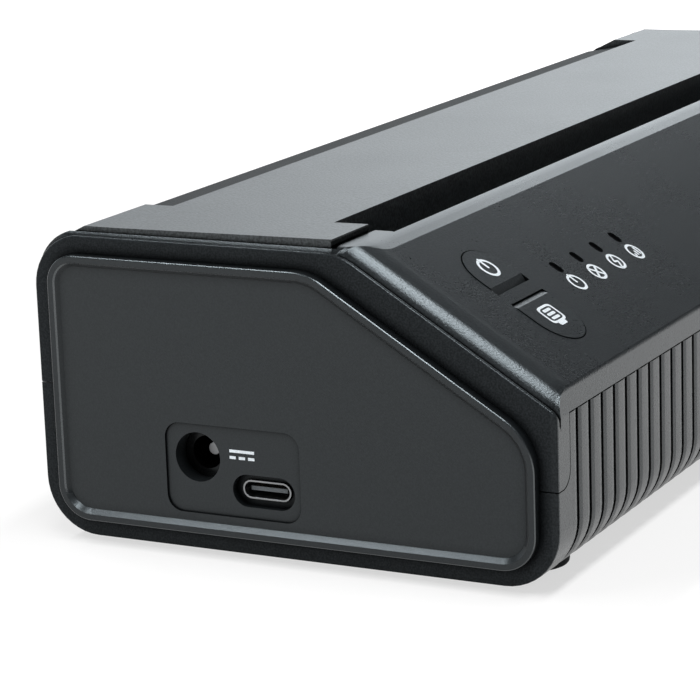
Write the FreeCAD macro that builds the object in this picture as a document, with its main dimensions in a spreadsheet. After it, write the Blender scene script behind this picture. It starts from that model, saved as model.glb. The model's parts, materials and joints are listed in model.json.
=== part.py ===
import FreeCAD, Part
import math
import os
import Sketcher

# Portable A4 roll printer. X runs along the length with the ports at -X, the ribbed front faces -Y,
# Z is up, and the origin lies on the table under the middle of the printer.

doc = FreeCAD.newDocument("portable_printer")
sheet = doc.addObject("Spreadsheet::Sheet", "dims")

# Driving dimensions: millimetres, degrees for angles, plain counts for teeth and ribs
sizes = {
    # Case
    "case_length": 262.0,
    "case_depth": 94.0,
    "case_top": 53.2,
    "foot_height": 1.0,
    "wall": 2.2,
    "front_wall": 3.6,
    "slope_angle": 31.8,
    "slope_drop": 21.31,
    "band_height": 3.09,
    "band_lean": 0.9,
    "bottom_round": 9.6,
    "back_round": 8.7,
    "lip_round": 4.0,
    "band_round": 1.2,
    "seam_gap": 0.2,
    "front_seam": 17.1,
    "back_seam": 26.9,
    "leg_width": 6.9,
    "leg_round": 3.0,
    # End rings and panels
    "panel_proud": 2.0,
    "ring_width": 0.75,
    "ring_drop": 0.73,
    "ring_slope_drop": 2.1,
    "ring_round": 2.5,
    "ring_back_round": 9.0,
    "ring_edge_round": 0.4,
    "cove_back_round": 9.6,
    "cove_width": 0.6,
    "cove_depth": 1.1,
    "slope_end_crown": 20.0,
    "slope_end_round": 3.0,
    "end_wall": 2.5,
    "panel_front_margin": 3.2,
    "panel_back_margin": 3.6,
    "panel_bottom_margin": 3.2,
    "panel_top_drop": 3.72,
    "panel_slope_drop": 6.24,
    "panel_low_round": 6.0,
    "panel_top_round": 5.0,
    "panel_slope_round": 10.0,
    "panel_edge_round": 0.3,
    "rim_width": 1.1,
    "dish_depth": 0.85,
    "plug_inset": 2.2,
    "plug_depth": 2.0,
    "plug_gap": 0.1,
    "plug_wall": 1.6,
    # Ports
    "port_front": 2.4,
    "port_back": 22.6,
    "port_low": 7.5,
    "port_high": 22.7,
    "port_round": 2.8,
    "port_depth": 0.4,
    "port_block_margin": 1.0,
    "dc_across": 16.7,
    "dc_height": 17.0,
    "dc_hole_radius": 4.2,
    "dc_body_width": 9.0,
    "dc_body_back": 14.6,
    "dc_bore_radius": 2.8,
    "dc_bore_depth": 9.0,
    "dc_pin_radius": 1.05,
    "dc_pin_back": 2.2,
    "usb_across": 4.6,
    "usb_height": 12.15,
    "usb_pocket_width": 11.5,
    "usb_pocket_height": 5.5,
    "usb_pocket_depth": 1.6,
    "usb_width": 8.94,
    "usb_thick": 3.16,
    "usb_sheet": 0.3,
    "usb_proud": 0.5,
    "usb_length": 8.0,
    "usb_tongue_width": 6.7,
    "usb_tongue_thick": 0.7,
    "usb_tongue_back": 0.9,
    # Paper slot and lid
    "slot_margin": 17.8,
    "slot_back_step": 0.43,
    "slot_width": 10.7,
    "slot_wall": 1.8,
    "slot_wall_height": 8.0,
    "tab_reach": 6.3,
    "tab_undercut": 0.9,
    "tab_gap": 1.0,
    "lid_margin": 4.4,
    "lid_gap": 0.35,
    "lid_back_rise": 0.5,
    "lid_front_rise": 1.0,
    "lid_sink": 1.7,
    "lid_rest_gap": 0.2,
    "ledge_thick": 2.0,
    "ledge_width": 2.95,
    "skirt_thick": 1.6,
    "skirt_height": 6.7,
    "notch_margin": 24.0,
    "notch_depth": 14.2,
    "notch_round": 2.5,
    "notch_undercut": 0.8,
    "ear_back": 8.8,
    "ear_back_angle": 53.0,
    "ear_front_angle": 153.0,
    # Hinge and rear rail
    "hinge_back": 6.5,
    "hinge_drop": 5.7,
    "barrel_radius": 4.6,
    "barrel_gap": 0.3,
    "pin_radius": 1.2,
    "pin_play": 0.05,
    "pin_anchor": 8.0,
    "pocket_drop": 7.2,
    "rail_gap": 0.4,
    "rail_drop": 0.2,
    "rail_angle": 11.0,
    "rail_base": 8.7,
    "rail_front_thick": 2.6,
    # Ribs
    "rib_pitch": 5.149,
    "rib_count": 48,
    "groove_width": 1.0,
    "groove_depth": 1.3,
    "groove_bevel_width": 1.0,
    "groove_bevel_depth": 0.17,
    # Buttons and lights on the slope
    "button_margin": 27.3,
    "button_width": 12.1,
    "button_clearance": 0.25,
    "button_top": 30.2,
    "power_low": 20.5,
    "battery_high": 17.4,
    "button_bottom": 6.4,
    "button_thick": 2.4,
    "button_proud": 0.1,
    "button_flange": 0.8,
    "button_flange_thick": 1.0,
    "power_bevel_width": 1.5,
    "power_bevel_depth": 0.65,
    "battery_bevel_width": 1.0,
    "battery_bevel_depth": 0.36,
    "stem_radius": 1.6,
    "stem_length": 0.5,
    "switch_gap": 0.8,
    "switch_plunger": 1.0,
    "switch_size": 6.0,
    "switch_height": 1.7,
    "button_board_thick": 1.6,
    "button_board_left": 13.4,
    "button_board_right": 76.0,
    "button_board_low": 4.0,
    "button_board_high": 31.5,
    "post_radius": 2.0,
    "post_inset": 2.8,
    "light_margin": 44.3,
    "light_pitch": 8.71,
    "light_count": 4,
    "light_up": 20.0,
    "light_width": 1.9,
    "light_length": 2.9,
    "light_recess": 0.3,
    "light_play": 0.05,
    "led_height": 0.8,
    "led_size": 1.6,
    # Feet and case screws
    "foot_across": 18.0,
    "foot_inset": 11.6,
    "foot_radius": 6.0,
    "foot_sink": 0.8,
    "screw_across": 8.6,
    "screw_inset": 11.0,
    "boss_radius": 2.8,
    "boss_split": 16.0,
    "screw_radius": 1.25,
    "screw_play": 0.05,
    "screw_top": 24.0,
    "screw_head_radius": 2.5,
    "screw_head_height": 1.6,
    "screw_sink": 0.5,
    # Paper bay
    "bay_motor_gap": 8.54,
    "bay_wall": 1.4,
    "bay_back": 2.9,
    "bay_head_gap": 1.3,
    "bay_rail_gap": 6.6,
    "bay_foot": 0.5,
    "bay_end_gap": 0.3,
    "bay_saddle_thick": 2.0,
    "bay_saddle_width": 16.0,
    # Side frames
    "frame_margin": 16.8,
    "frame_thick": 1.2,
    "frame_front": 10.0,
    "frame_back": 5.0,
    "frame_board_room": 13.0,
    "frame_neck_gap": 0.5,
    "frame_top_rise": 1.7,
    "frame_low_drop": 23.2,
    "frame_shoulder": 9.0,
    "frame_slot_gap": 0.3,
    "frame_slot_flare": 1.5,
    "frame_flange": 5.0,
    "frame_flange_length": 8.0,
    # Platen
    "platen_step": 6.5,
    "platen_drop": 7.9,
    "platen_radius": 4.5,
    "shaft_radius": 2.0,
    "shaft_play": 0.05,
    "bush_radius": 3.0,
    "hanger_thick": 2.0,
    "hanger_gap": 1.0,
    "hanger_radius": 4.2,
    "platen_end_gap": 1.0,
    "shaft_overhang": 1.3,
    # Print head
    "head_gap": 0.3,
    "head_thick": 1.0,
    "head_front": 9.0,
    "head_back": 10.0,
    "head_end": 5.0,
    "sink_thick": 4.0,
    "sink_inset": 2.0,
    "sink_end_gap": 0.6,
    "sink_tab_half": 3.0,
    "sink_tab_low": 0.5,
    "sink_tab_high": 3.0,
    "sink_tab_proud": 0.6,
    "head_travel": 0.8,
    "spring_height": 6.5,
    "spring_sheet": 0.4,
    "spring_half": 4.0,
    "spring_width": 12.0,
    "spring_across": 60.0,
    "bracket_thick": 1.2,
    "bracket_front": 6.5,
    "bracket_back": 8.0,
    "bracket_flange": 5.0,
    "sensor_width": 8.0,
    "sensor_depth": 3.0,
    "sensor_height": 4.2,
    "sensor_across": 20.0,
    # Gear train and motor
    "gear_module": 0.5,
    "gear_width": 4.0,
    "gear_gap": 1.3,
    "gear_backlash": 0.08,
    "pressure_angle": 20.0,
    "root_share": 1.25,
    "mesh_gap": 0.06,
    "platen_teeth": 20,
    "first_teeth": 30,
    "second_teeth": 24,
    "pinion_teeth": 12,
    "first_angle": -79.3,
    "second_angle": -148.2,
    "pinion_angle": -162.7,
    "gear_post_radius": 1.5,
    "gear_post_proud": 1.0,
    "gear_play": 0.05,
    "motor_radius": 10.0,
    "motor_length": 18.0,
    "motor_shaft_radius": 1.0,
    "motor_shaft_depth": 14.0,
    "motor_shaft_play": 0.03,
    "motor_hole_radius": 2.0,
    "motor_plate_front": 11.5,
    "motor_plate_low": 10.4,
    "motor_plate_high": 11.0,
    # Battery and main board
    "cell_radius": 9.2,
    "cell_length": 65.0,
    "cell_gap": 1.0,
    "cell_inset": 17.5,
    "cell_play": 0.2,
    "cell_floor": 1.0,
    "cell_middle": 4.5,
    "holder_front": 6.5,
    "holder_back": 10.0,
    "holder_height": 8.8,
    "holder_end": 1.7,
    "holder_end_height": 16.0,
    "board_thick": 1.6,
    "board_top": 10.5,
    "board_gap": 1.0,
    "board_right_gap": 3.0,
    "board_end_gap": 0.5,
    "board_port_gap": 0.8,
    "board_port_back": 24.0,
    "standoff_radius": 2.5,
    "standoff_inset": 4.0,
    # One overrun serves every cut
    "overrun": 10.0,
}
for row, (name, value) in enumerate(sizes.items(), start=1):
    sheet.set(f"A{row}", name)
    sheet.set(f"B{row}", str(value))
    sheet.setAlias(f"B{row}", name)
doc.recompute()


class Size:
    # A size keeps its value and the sheet expression that it comes from
    def __init__(self, text, value):
        self.text = text
        self.value = value

    def __add__(self, other):
        other = as_size(other)
        return Size(f"({self.text} + {other.text})", self.value + other.value)

    def __sub__(self, other):
        other = as_size(other)
        return Size(f"({self.text} - {other.text})", self.value - other.value)

    def __mul__(self, other):
        other = as_size(other)
        return Size(f"({self.text} * {other.text})", self.value * other.value)

    def __truediv__(self, other):
        other = as_size(other)
        return Size(f"({self.text} / {other.text})", self.value / other.value)

    def __rmul__(self, other):
        return as_size(other) * self

    def __neg__(self):
        return as_size(-1) * self


def as_size(number):
    return number if isinstance(number, Size) else Size(f"({number})", number)


def trig(function, angle):
    return Size(f"{function}({angle.text} * 1deg)", getattr(math, function)(math.radians(angle.value)))


def root(size):
    return Size(f"sqrt({size.text})", math.sqrt(size.value))


def least(first, second):
    return Size(f"min({first.text}; {second.text})", min(first.value, second.value))


class Dims:
    def __getattr__(self, name):
        return Size(f"dims.{name}", sizes[name])


d = Dims()
zero = as_size(0)
nodes = []


def bind(thing, path, size):
    thing.setExpression(path, as_size(size).text)


def place(thing, x, y, z):
    for axis, size in zip("xyz", (x, y, z)):
        bind(thing, f"Placement.Base.{axis}", size)


def node(thing, label):
    thing.Label = label
    nodes.append(thing)
    return thing


def box(name, x, y, z):
    thing = doc.addObject("Part::Box", name)
    for path, span in zip(("Length", "Width", "Height"), (x, y, z)):
        bind(thing, path, span[1] - span[0])
    place(thing, x[0], y[0], z[0])
    return thing


def rod(name, axis, radius, span, across, up):
    # A round bar along X, Y or Z: its span along the axis, then its two other coordinates in order
    thing = doc.addObject("Part::Cylinder", name)
    bind(thing, "Radius", radius)
    bind(thing, "Height", span[1] - span[0])
    turns = {
        "x": (FreeCAD.Vector(0, 1, 0), 90),
        "y": (FreeCAD.Vector(1, 0, 0), -90),
        "z": (FreeCAD.Vector(0, 0, 1), 0),
    }
    thing.Placement.Rotation = FreeCAD.Rotation(*turns[axis])
    start = {"x": (span[0], across, up), "y": (across, span[0], up), "z": (across, up, span[0])}
    place(thing, *start[axis])
    return thing


def fuse(name, pieces):
    thing = doc.addObject("Part::MultiFuse", name)
    thing.Shapes = pieces
    thing.Refine = True
    return thing


def cut(name, base, tools, refine=True):
    thing = doc.addObject("Part::Cut", name)
    thing.Base = base
    thing.Tool = tools[0] if len(tools) == 1 else fuse(name + "_tools", tools)
    thing.Refine = refine
    return thing


def common(name, first, second):
    thing = doc.addObject("Part::MultiCommon", name)
    thing.Shapes = [first, second]
    thing.Refine = True
    return thing


def group(name, pieces):
    thing = doc.addObject("Part::Compound", name)
    thing.Links = pieces
    return thing


def draw(sketch, outline):
    # A closed outline whose every corner is held by two sheet-driven distances
    corners = [FreeCAD.Vector(corner[0].value, corner[1].value, 0) for corner in outline]
    count = len(corners)
    for index in range(count):
        sketch.addGeometry(Part.LineSegment(corners[index], corners[(index + 1) % count]))
    for index in range(count):
        sketch.addConstraint(Sketcher.Constraint("Coincident", index, 2, (index + 1) % count, 1))
    for index, corner in enumerate(outline):
        for kind, size in zip(("DistanceX", "DistanceY"), corner):
            number = sketch.addConstraint(Sketcher.Constraint(kind, -1, 1, index, 1, size.value))
            sketch.setExpression(f"Constraints[{number}]", size.text)


def plane_sketch(body, name, role):
    sketch = body.newObject("Sketcher::SketchObject", name)
    plane = next(item for item in body.Origin.OriginFeatures if item.Role == role)
    sketch.AttachmentSupport = [(plane, "")]
    sketch.MapMode = "FlatFace"
    return sketch


# For each sketch plane: how sketch coordinates and the pad's direction lie in space
plane_maps = {
    "YZ_Plane": lambda across, up: FreeCAD.Vector(0, across, up),
    "XZ_Plane": lambda across, up: FreeCAD.Vector(across, 0, up),
    "XY_Plane": lambda across, up: FreeCAD.Vector(across, up, 0),
}


def side_edges(shape, corner, normal):
    # The edges that leave the sketch plane at one corner of the outline
    found = []
    for number, edge in enumerate(shape.Edges, start=1):
        ends = [vertex.Point for vertex in edge.Vertexes]
        if len(ends) == 2 and min((end - corner).Length for end in ends) < edge.Length * 1e-6:
            along = edge.tangentAt(edge.FirstParameter)
            level = abs(along.dot(normal)) < 1e-6
            found += [] if level else [f"Edge{number}"]
    return found


def prism(name, outline, start, end, plane="YZ_Plane"):
    # A pad of the outline between two places along the plane's normal
    # A corner may carry a third size, its round
    body = doc.addObject("PartDesign::Body", name)
    sketch = plane_sketch(body, name + "_outline", plane)
    draw(sketch, outline)
    feature = body.newObject("PartDesign::Pad", name + "_pad")
    feature.Profile = sketch
    bind(feature, "Length", end - start)
    normal = {"YZ_Plane": (1, 0, 0), "XZ_Plane": (0, -1, 0), "XY_Plane": (0, 0, 1)}[plane]
    rounded = {}
    for corner in outline:
        for size in corner[2:]:
            rounded.setdefault(size.text, []).append(corner)
    for corners in rounded.values():
        doc.recompute()
        names = []
        for across, up, radius in corners:
            corner = plane_maps[plane](across.value, up.value)
            names += side_edges(feature.Shape, corner, FreeCAD.Vector(*normal))
        fillet = body.newObject("PartDesign::Fillet", f"{name}_round_{len(body.Group)}")
        fillet.Base = (feature, names)
        bind(fillet, "Radius", radius)
        feature = fillet
    offsets = {
        "YZ_Plane": (start, zero, zero),
        "XZ_Plane": (zero, end, zero),
        "XY_Plane": (zero, zero, start),
    }
    place(body, *offsets[plane])
    return body


def sides(side, near, far):
    # A span along X given by distances from the middle, on one side or the other
    return (near, far) if side > 0 else (-far, -near)


# Shared places
end = d.case_length / 2
case_end = end - d.panel_proud
inner_end = case_end - d.end_wall
front = -d.case_depth / 2
back = d.case_depth / 2
bottom = d.foot_height
floor = bottom + d.wall
slope_tan = trig("tan", d.slope_angle)
slope_cos = trig("cos", d.slope_angle)
slope_sin = trig("sin", d.slope_angle)
slope_foot = d.case_top - d.slope_drop
band_foot = slope_foot - d.band_height
edge_y = front + d.band_lean
edge_z = slope_foot + d.band_lean * slope_tan
slope_top = front + d.slope_drop / slope_tan
slot_near = slope_top + d.slot_back_step
slot_half = end - d.slot_margin
lid_front = slot_near + d.slot_width
tab_front = lid_front - d.tab_reach
lid_half = end - d.lid_margin
lid_low = d.case_top - d.lid_sink
lid_back_top = d.case_top + d.lid_back_rise
lid_front_top = d.case_top + d.lid_front_rise
notch_half = end - d.notch_margin
notch_y = back - d.notch_depth
hinge_y = back - d.hinge_back
hinge_z = d.case_top - d.hinge_drop
platen_y = lid_front + d.platen_step
platen_z = d.case_top - d.platen_drop
frame_x = end - d.frame_margin - d.frame_thick
frame_out = frame_x + d.frame_thick
past = d.overrun
high = d.case_top + past


def pitch_radius(teeth):
    return d.gear_module * teeth / 2


def step_from(y, z, teeth, next_teeth, angle):
    # The centre of the next wheel of the gear train
    distance = pitch_radius(teeth) + pitch_radius(next_teeth) + d.mesh_gap
    return y + distance * trig("cos", angle), z + distance * trig("sin", angle)


first_y, first_z = step_from(platen_y, platen_z, d.platen_teeth, d.first_teeth, d.first_angle)
second_y, second_z = step_from(first_y, first_z, d.first_teeth, d.second_teeth, d.second_angle)
motor_y, motor_z = step_from(second_y, second_z, d.second_teeth, d.pinion_teeth, d.pinion_angle)


def sloped_end(front_y, back_y, low, top, foot, inset, rounds):
    # The five-sided section of the printer's end, drawn in by an inset on every side
    near = front_y + inset
    far = back_y - inset
    roof = top - inset
    knee = foot + inset * slope_tan - inset / slope_cos
    corners = [
        (near, low + inset),
        (near, knee),
        (near + (roof - knee) / slope_tan, roof),
        (far, roof),
        (far, low + inset),
    ]
    return [(*corner, size - inset) if size else corner for corner, size in zip(corners, rounds)]


def slope_at(x, up_slope, out):
    # A point of the control panel: distance up the slope from the front edge and out along its normal
    return (
        x,
        edge_y + up_slope * slope_cos - out * slope_sin,
        edge_z + up_slope * slope_sin + out * slope_cos,
    )


def tilt(thing, x, up_slope, out):
    thing.Placement.Rotation = FreeCAD.Rotation(FreeCAD.Vector(1, 0, 0), d.slope_angle.value)
    bind(thing, "Placement.Rotation.Angle", d.slope_angle)
    place(thing, *slope_at(x, up_slope, out))
    return thing


def slope_box(name, x, up_slope, out):
    thing = doc.addObject("Part::Box", name)
    for path, span in zip(("Length", "Width", "Height"), (x, up_slope, out)):
        bind(thing, path, span[1] - span[0])
    return tilt(thing, x[0], up_slope[0], out[0])


def slope_rod(name, radius, x, up_slope, out):
    thing = doc.addObject("Part::Cylinder", name)
    bind(thing, "Radius", radius)
    bind(thing, "Height", out[1] - out[0])
    return tilt(thing, x, up_slope, out[0])


# Case shell: outer block with stepped end rings, less the cavity and the end openings
main_outline = [
    (front, bottom, d.bottom_round),
    (front, band_foot),
    (edge_y, edge_z, d.band_round),
    (slope_top, d.case_top, d.lip_round),
    (back, d.case_top, d.back_round),
    (back, bottom, d.bottom_round),
]
main_end = case_end - d.ring_width - d.cove_width
main_block = prism("main_block", main_outline, -main_end, main_end)


def ring_outline(drop, back_round):
    rounds = (d.bottom_round, d.ring_round, d.panel_slope_round, back_round, d.bottom_round)
    foot = slope_foot - (d.ring_slope_drop + drop) / slope_cos
    return sloped_end(front, back, bottom, d.case_top - d.ring_drop - drop, foot, zero, rounds)


def end_round(name, side):
    # What comes off where the control slope bends over gently, then sharply down into the end cove
    fall = d.ring_slope_drop + d.cove_depth
    gentle = d.slope_end_crown
    sharp = d.slope_end_round
    sharp_x = main_end - sharp
    lead = root((gentle - sharp) * (gentle - sharp) - (gentle - fall) * (gentle - fall))
    gentle_x = sharp_x - lead
    meet_x = sharp_x + sharp * lead / (gentle - sharp)
    run = (-past, d.slope_drop / slope_sin + fall / slope_tan + past)
    lean = d.slope_angle - 90
    pieces = []
    for tag, radius, near, middle, depth in (
        ("_crown", gentle, gentle_x, gentle_x, gentle),
        ("_turn", sharp, meet_x, sharp_x, fall),
    ):
        block = slope_box(name + tag + "_block", sides(side, near, main_end + past), run, (-fall, past))
        core = doc.addObject("Part::Cylinder", name + tag + "_core")
        bind(core, "Radius", radius)
        bind(core, "Height", run[1] - run[0])
        core.Placement.Rotation = FreeCAD.Rotation(FreeCAD.Vector(1, 0, 0), lean.value)
        bind(core, "Placement.Rotation.Angle", lean)
        place(core, *slope_at(side * middle, run[0], -depth))
        pieces.append(cut(name + tag, block, [core]))
    return fuse(name, pieces)


def top_round(name, side):
    # What comes off where the top turns down into the end cove
    radius = d.ring_drop + d.cove_depth
    run = (front - past, back + past)
    turn_x = main_end - radius
    block = box(name + "_block", sides(side, turn_x, main_end + past), run, (d.case_top - radius, high))
    core = rod(name + "_core", "y", radius, run, side * turn_x, d.case_top - radius)
    return cut(name, block, [core])


cavity_foot = slope_foot + d.front_wall * slope_tan - d.wall / slope_cos
cavity_round = d.bottom_round - d.wall
cavity_rounds = (cavity_round, None, None, d.back_round - d.wall, cavity_round)
cavity_front = front + d.front_wall
cavity_back = back - d.wall
cavity_outline = sloped_end(
    cavity_front, cavity_back, floor, d.case_top - d.wall, cavity_foot, zero, cavity_rounds
)
cavity = prism("cavity", cavity_outline, -inner_end, inner_end)


def panel_prism(name, inset, start, stop):
    slope_round = d.panel_slope_round
    rounds = (d.panel_low_round, slope_round, slope_round, d.panel_top_round, d.panel_low_round)
    outline = sloped_end(
        front + d.panel_front_margin,
        back - d.panel_back_margin,
        bottom + d.panel_bottom_margin,
        d.case_top - d.panel_top_drop,
        slope_foot - d.panel_slope_drop,
        inset,
        rounds,
    )
    return prism(name, outline, start, stop)


def dress_end(body, kind, side, size):
    # A round or a bevel along the outline of the end face that looks towards one side
    doc.recompute()
    plain = body.Tip
    faces = enumerate(plain.Shape.Faces, start=1)
    number = max(faces, key=lambda item: side * item[1].CenterOfMass.x)[0]
    dressed = body.newObject("PartDesign::" + kind, body.Name + "_edge")
    dressed.Base = (plain, [f"Face{number}"])
    bind(dressed, "Radius" if kind == "Fillet" else "Size", size)


end_trims = [end_round("left_round", -1), end_round("right_round", 1)]
end_trims += [top_round("left_top_round", -1), top_round("right_top_round", 1)]
rounded_block = cut("rounded_block", main_block, end_trims)
outer_pieces = [rounded_block]
hollows = [cavity]
for side, tag in ((-1, "left"), (1, "right")):
    ring_span = sides(side, main_end + d.cove_width, case_end)
    cove_span = sides(side, main_end, main_end + d.cove_width)
    hole_span = sides(side, inner_end, case_end)
    ring = prism(tag + "_ring", ring_outline(zero, d.ring_back_round), *ring_span)
    dress_end(ring, "Fillet", side, d.ring_edge_round)
    outer_pieces.append(ring)
    outer_pieces.append(prism(tag + "_cove", ring_outline(d.cove_depth, d.cove_back_round), *cove_span))
    hollows.append(panel_prism(tag + "_end_hole", d.plug_inset - d.plug_gap, *hole_span))
shell = cut("shell", fuse("outer_block", outer_pieces), hollows)


def lower_region(name, gap):
    # Everything below the seam: high across the ribbed front, with a leg's width left at each end
    leg = case_end - (d.leg_width - d.panel_proud) + gap
    low = -past
    # The leg's inner corner keeps its round within the height of the leg
    leg_turn = least(d.leg_round, (band_foot - d.front_seam) / 2)
    front_part = prism(
        name + "_front",
        [
            (-end, low),
            (end, low),
            (end, d.front_seam + gap),
            (leg, d.front_seam + gap, leg_turn),
            (leg, band_foot + gap),
            (-leg, band_foot + gap),
            (-leg, d.front_seam + gap, leg_turn),
            (-end, d.front_seam + gap),
        ],
        front - past,
        front + d.front_wall,
        plane="XZ_Plane",
    )
    middle_part = box(name + "_middle", (-end, end), (front + d.front_wall, zero), (low, d.front_seam + gap))
    back_part = box(name + "_back", (-end, end), (zero, back + past), (low, d.back_seam + gap))
    return fuse(name, [front_part, middle_part, back_part])


# Lower case: tray with posts for the board, screw bosses and the ribs moulded into its front
tray = common("tray", shell, lower_region("tray_region", zero))
screw_x = case_end - d.screw_across + d.panel_proud
screw_spots = [(x, y) for x in (-screw_x, screw_x) for y in (front + d.screw_inset, back - d.screw_inset)]
foot_x = end - d.foot_across
foot_spots = [(x, y) for x in (-foot_x, foot_x) for y in (front + d.foot_inset, back - d.foot_inset)]
holder_back = front + d.cell_inset + d.holder_back
bay_front = motor_y + d.motor_radius + d.bay_motor_gap
bay_rear = back - d.bay_back
bay_outer = (bay_rear - bay_front) / 2
bay_y = bay_front + bay_outer
bay_z = floor + d.bay_foot + bay_outer
board_front = holder_back + d.board_gap
board_back = bay_front - d.board_gap
board_low = d.board_top - d.board_thick
board_left = -(inner_end - d.board_end_gap)
board_right = frame_x - d.motor_length - d.board_right_gap
port_right = -(frame_out + d.board_port_gap)
standoff_spots = [
    (board_left + d.standoff_inset, board_front + d.standoff_inset),
    (board_right - d.standoff_inset, board_front + d.standoff_inset),
    (board_right - d.standoff_inset, board_back - d.standoff_inset),
    (port_right - d.standoff_inset, board_back + d.standoff_inset),
]
sunk_floor = floor - d.wall / 2
tray_posts = [tray]
tray_holes = []
for number, (x, y) in enumerate(standoff_spots):
    tray_posts.append(rod(f"standoff_{number}", "z", d.standoff_radius, (sunk_floor, board_low), x, y))
for number, (x, y) in enumerate(screw_spots):
    tray_posts.append(rod(f"low_boss_{number}", "z", d.boss_radius, (sunk_floor, d.boss_split), x, y))
    head_top = bottom + d.screw_sink + d.screw_head_height
    hole_radius = d.screw_radius + d.screw_play
    sink_radius = d.screw_head_radius + d.screw_play
    tray_holes.append(rod(f"low_hole_{number}", "z", hole_radius, (-past, d.boss_split + past), x, y))
    tray_holes.append(rod(f"low_sink_{number}", "z", sink_radius, (-past, head_top), x, y))
for number, (x, y) in enumerate(foot_spots):
    tray_holes.append(rod(f"foot_recess_{number}", "z", d.foot_radius, (-past, bottom + d.foot_sink), x, y))
plain_tray = cut("plain_tray", fuse("tray_with_posts", tray_posts), tray_holes)
doc.recompute()

rib_run = d.rib_pitch * (d.rib_count - 1)
bend_y = front + d.bottom_round
bend_z = bottom + d.bottom_round
lower_case = doc.addObject("PartDesign::Body", "lower_case_body")
lower_case.BaseFeature = plain_tray


def groove_section(middle):
    # A narrow slot with a gentle bevel along both edges, seen from above
    slot = d.groove_width / 2
    lip = slot + d.groove_bevel_width
    return [
        (middle - lip, front - past),
        (middle + lip, front - past),
        (middle + lip, front),
        (middle + slot, front + d.groove_bevel_depth),
        (middle + slot, front + d.groove_depth),
        (middle - slot, front + d.groove_depth),
        (middle - slot, front + d.groove_bevel_depth),
        (middle - lip, front),
    ]


first_groove = -rib_run / 2
groove_sketch = plane_sketch(lower_case, "groove_outline", "XY_Plane")
bind(groove_sketch, "AttachmentOffset.Base.z", bend_z)
draw(groove_sketch, groove_section(first_groove))
straight_groove = lower_case.newObject("PartDesign::Pocket", "straight_groove")
straight_groove.Profile = groove_sketch
straight_groove.Reversed = True
bind(straight_groove, "Length", band_foot - bend_z + past)
doc.recompute()
bend_sketch = plane_sketch(lower_case, "bend_outline", "XY_Plane")
bind(bend_sketch, "AttachmentOffset.Base.z", bend_z)
draw(bend_sketch, groove_section(first_groove))
axis_ends = [FreeCAD.Vector(first_groove.value + share * rib_run.value, bend_y.value, 0) for share in (0, 1)]
axis_line = bend_sketch.addGeometry(Part.LineSegment(*axis_ends), True)
bend_sketch.addConstraint(Sketcher.Constraint("Horizontal", axis_line))
for point in (1, 2):
    axis_x = (first_groove if point == 1 else -first_groove)
    along = Sketcher.Constraint("DistanceX", -1, 1, axis_line, point, axis_x.value)
    number = bend_sketch.addConstraint(along)
    bend_sketch.setExpression(f"Constraints[{number}]", axis_x.text)
number = bend_sketch.addConstraint(Sketcher.Constraint("DistanceY", -1, 1, axis_line, 1, bend_y.value))
bend_sketch.setExpression(f"Constraints[{number}]", bend_y.text)
bent_groove = lower_case.newObject("PartDesign::Groove", "bent_groove")
bent_groove.Profile = bend_sketch
bent_groove.ReferenceAxis = (bend_sketch, ["Axis0"])
bent_groove.Angle = 90
doc.recompute()
rib_pattern = lower_case.newObject("PartDesign::LinearPattern", "rib_pattern")
rib_pattern.Originals = [straight_groove, bent_groove]
rib_pattern.Direction = (groove_sketch, ["H_Axis"])
bind(rib_pattern, "Length", rib_run)
bind(rib_pattern, "Occurrences", d.rib_count)
lower_case.Tip = rib_pattern
doc.recompute()
node(lower_case, "lower_case")

# Upper case: control slope, lid seat, paper slot, hinge pockets and rear rail
upper_shell = cut("upper_shell", shell, [lower_region("upper_cut", d.seam_gap)])
ledge_top = lid_low - d.lid_rest_gap
ledge_low = ledge_top - d.ledge_thick
seat_half = lid_half + d.lid_gap
open_half = seat_half - d.ledge_width
slot_far = lid_front - d.tab_reach + d.ledge_width - d.tab_gap
rail_half = notch_half - d.lid_gap
rail_top = lid_back_top - d.lid_back_rise - d.rail_drop
rail_front = notch_y + d.rail_gap
rail_tan = trig("tan", d.rail_angle)
ear_low_front = notch_y - d.barrel_radius
upper_adds = [upper_shell]
upper_cuts = []
rail_body_low = d.case_top - d.rail_base
rail_end = back - d.wall
rail_outline = [
    (rail_front, rail_top - d.rail_front_thick),
    (rail_front, rail_top),
    (rail_end, rail_top - (rail_end - rail_front) * rail_tan),
    (rail_end, rail_body_low),
    (hinge_y - d.pin_radius - d.wall, rail_body_low),
]
upper_adds.append(prism("rear_rail", rail_outline, -rail_half, rail_half))
rail_trim = [
    (rail_front, rail_top),
    (rail_front, high),
    (back + past, high),
    (back + past, rail_top - (back + past - rail_front) * rail_tan),
]
upper_cuts.append(prism("rail_trim", rail_trim, -rail_half, rail_half))
slot_wall_low = d.case_top - d.slot_wall - d.slot_wall_height
slot_wall_top = d.case_top - d.wall
upper_adds.append(
    box(
        "slot_guide",
        (-slot_half - d.slot_wall, slot_half + d.slot_wall),
        (slot_near - d.slot_wall, slot_near),
        (slot_wall_low, slot_wall_top),
    )
)
upper_cuts.append(box("paper_slot", (-slot_half, slot_half), (slot_near, notch_y), (ledge_low - past, high)))
seat_y = (tab_front - d.tab_gap, rail_front)
open_y = (slot_far, rail_front)
upper_cuts.append(box("lid_seat", (-seat_half, seat_half), seat_y, (ledge_top, high)))
upper_cuts.append(box("lid_opening", (-open_half, open_half), open_y, (ledge_low - past, high)))
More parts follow.
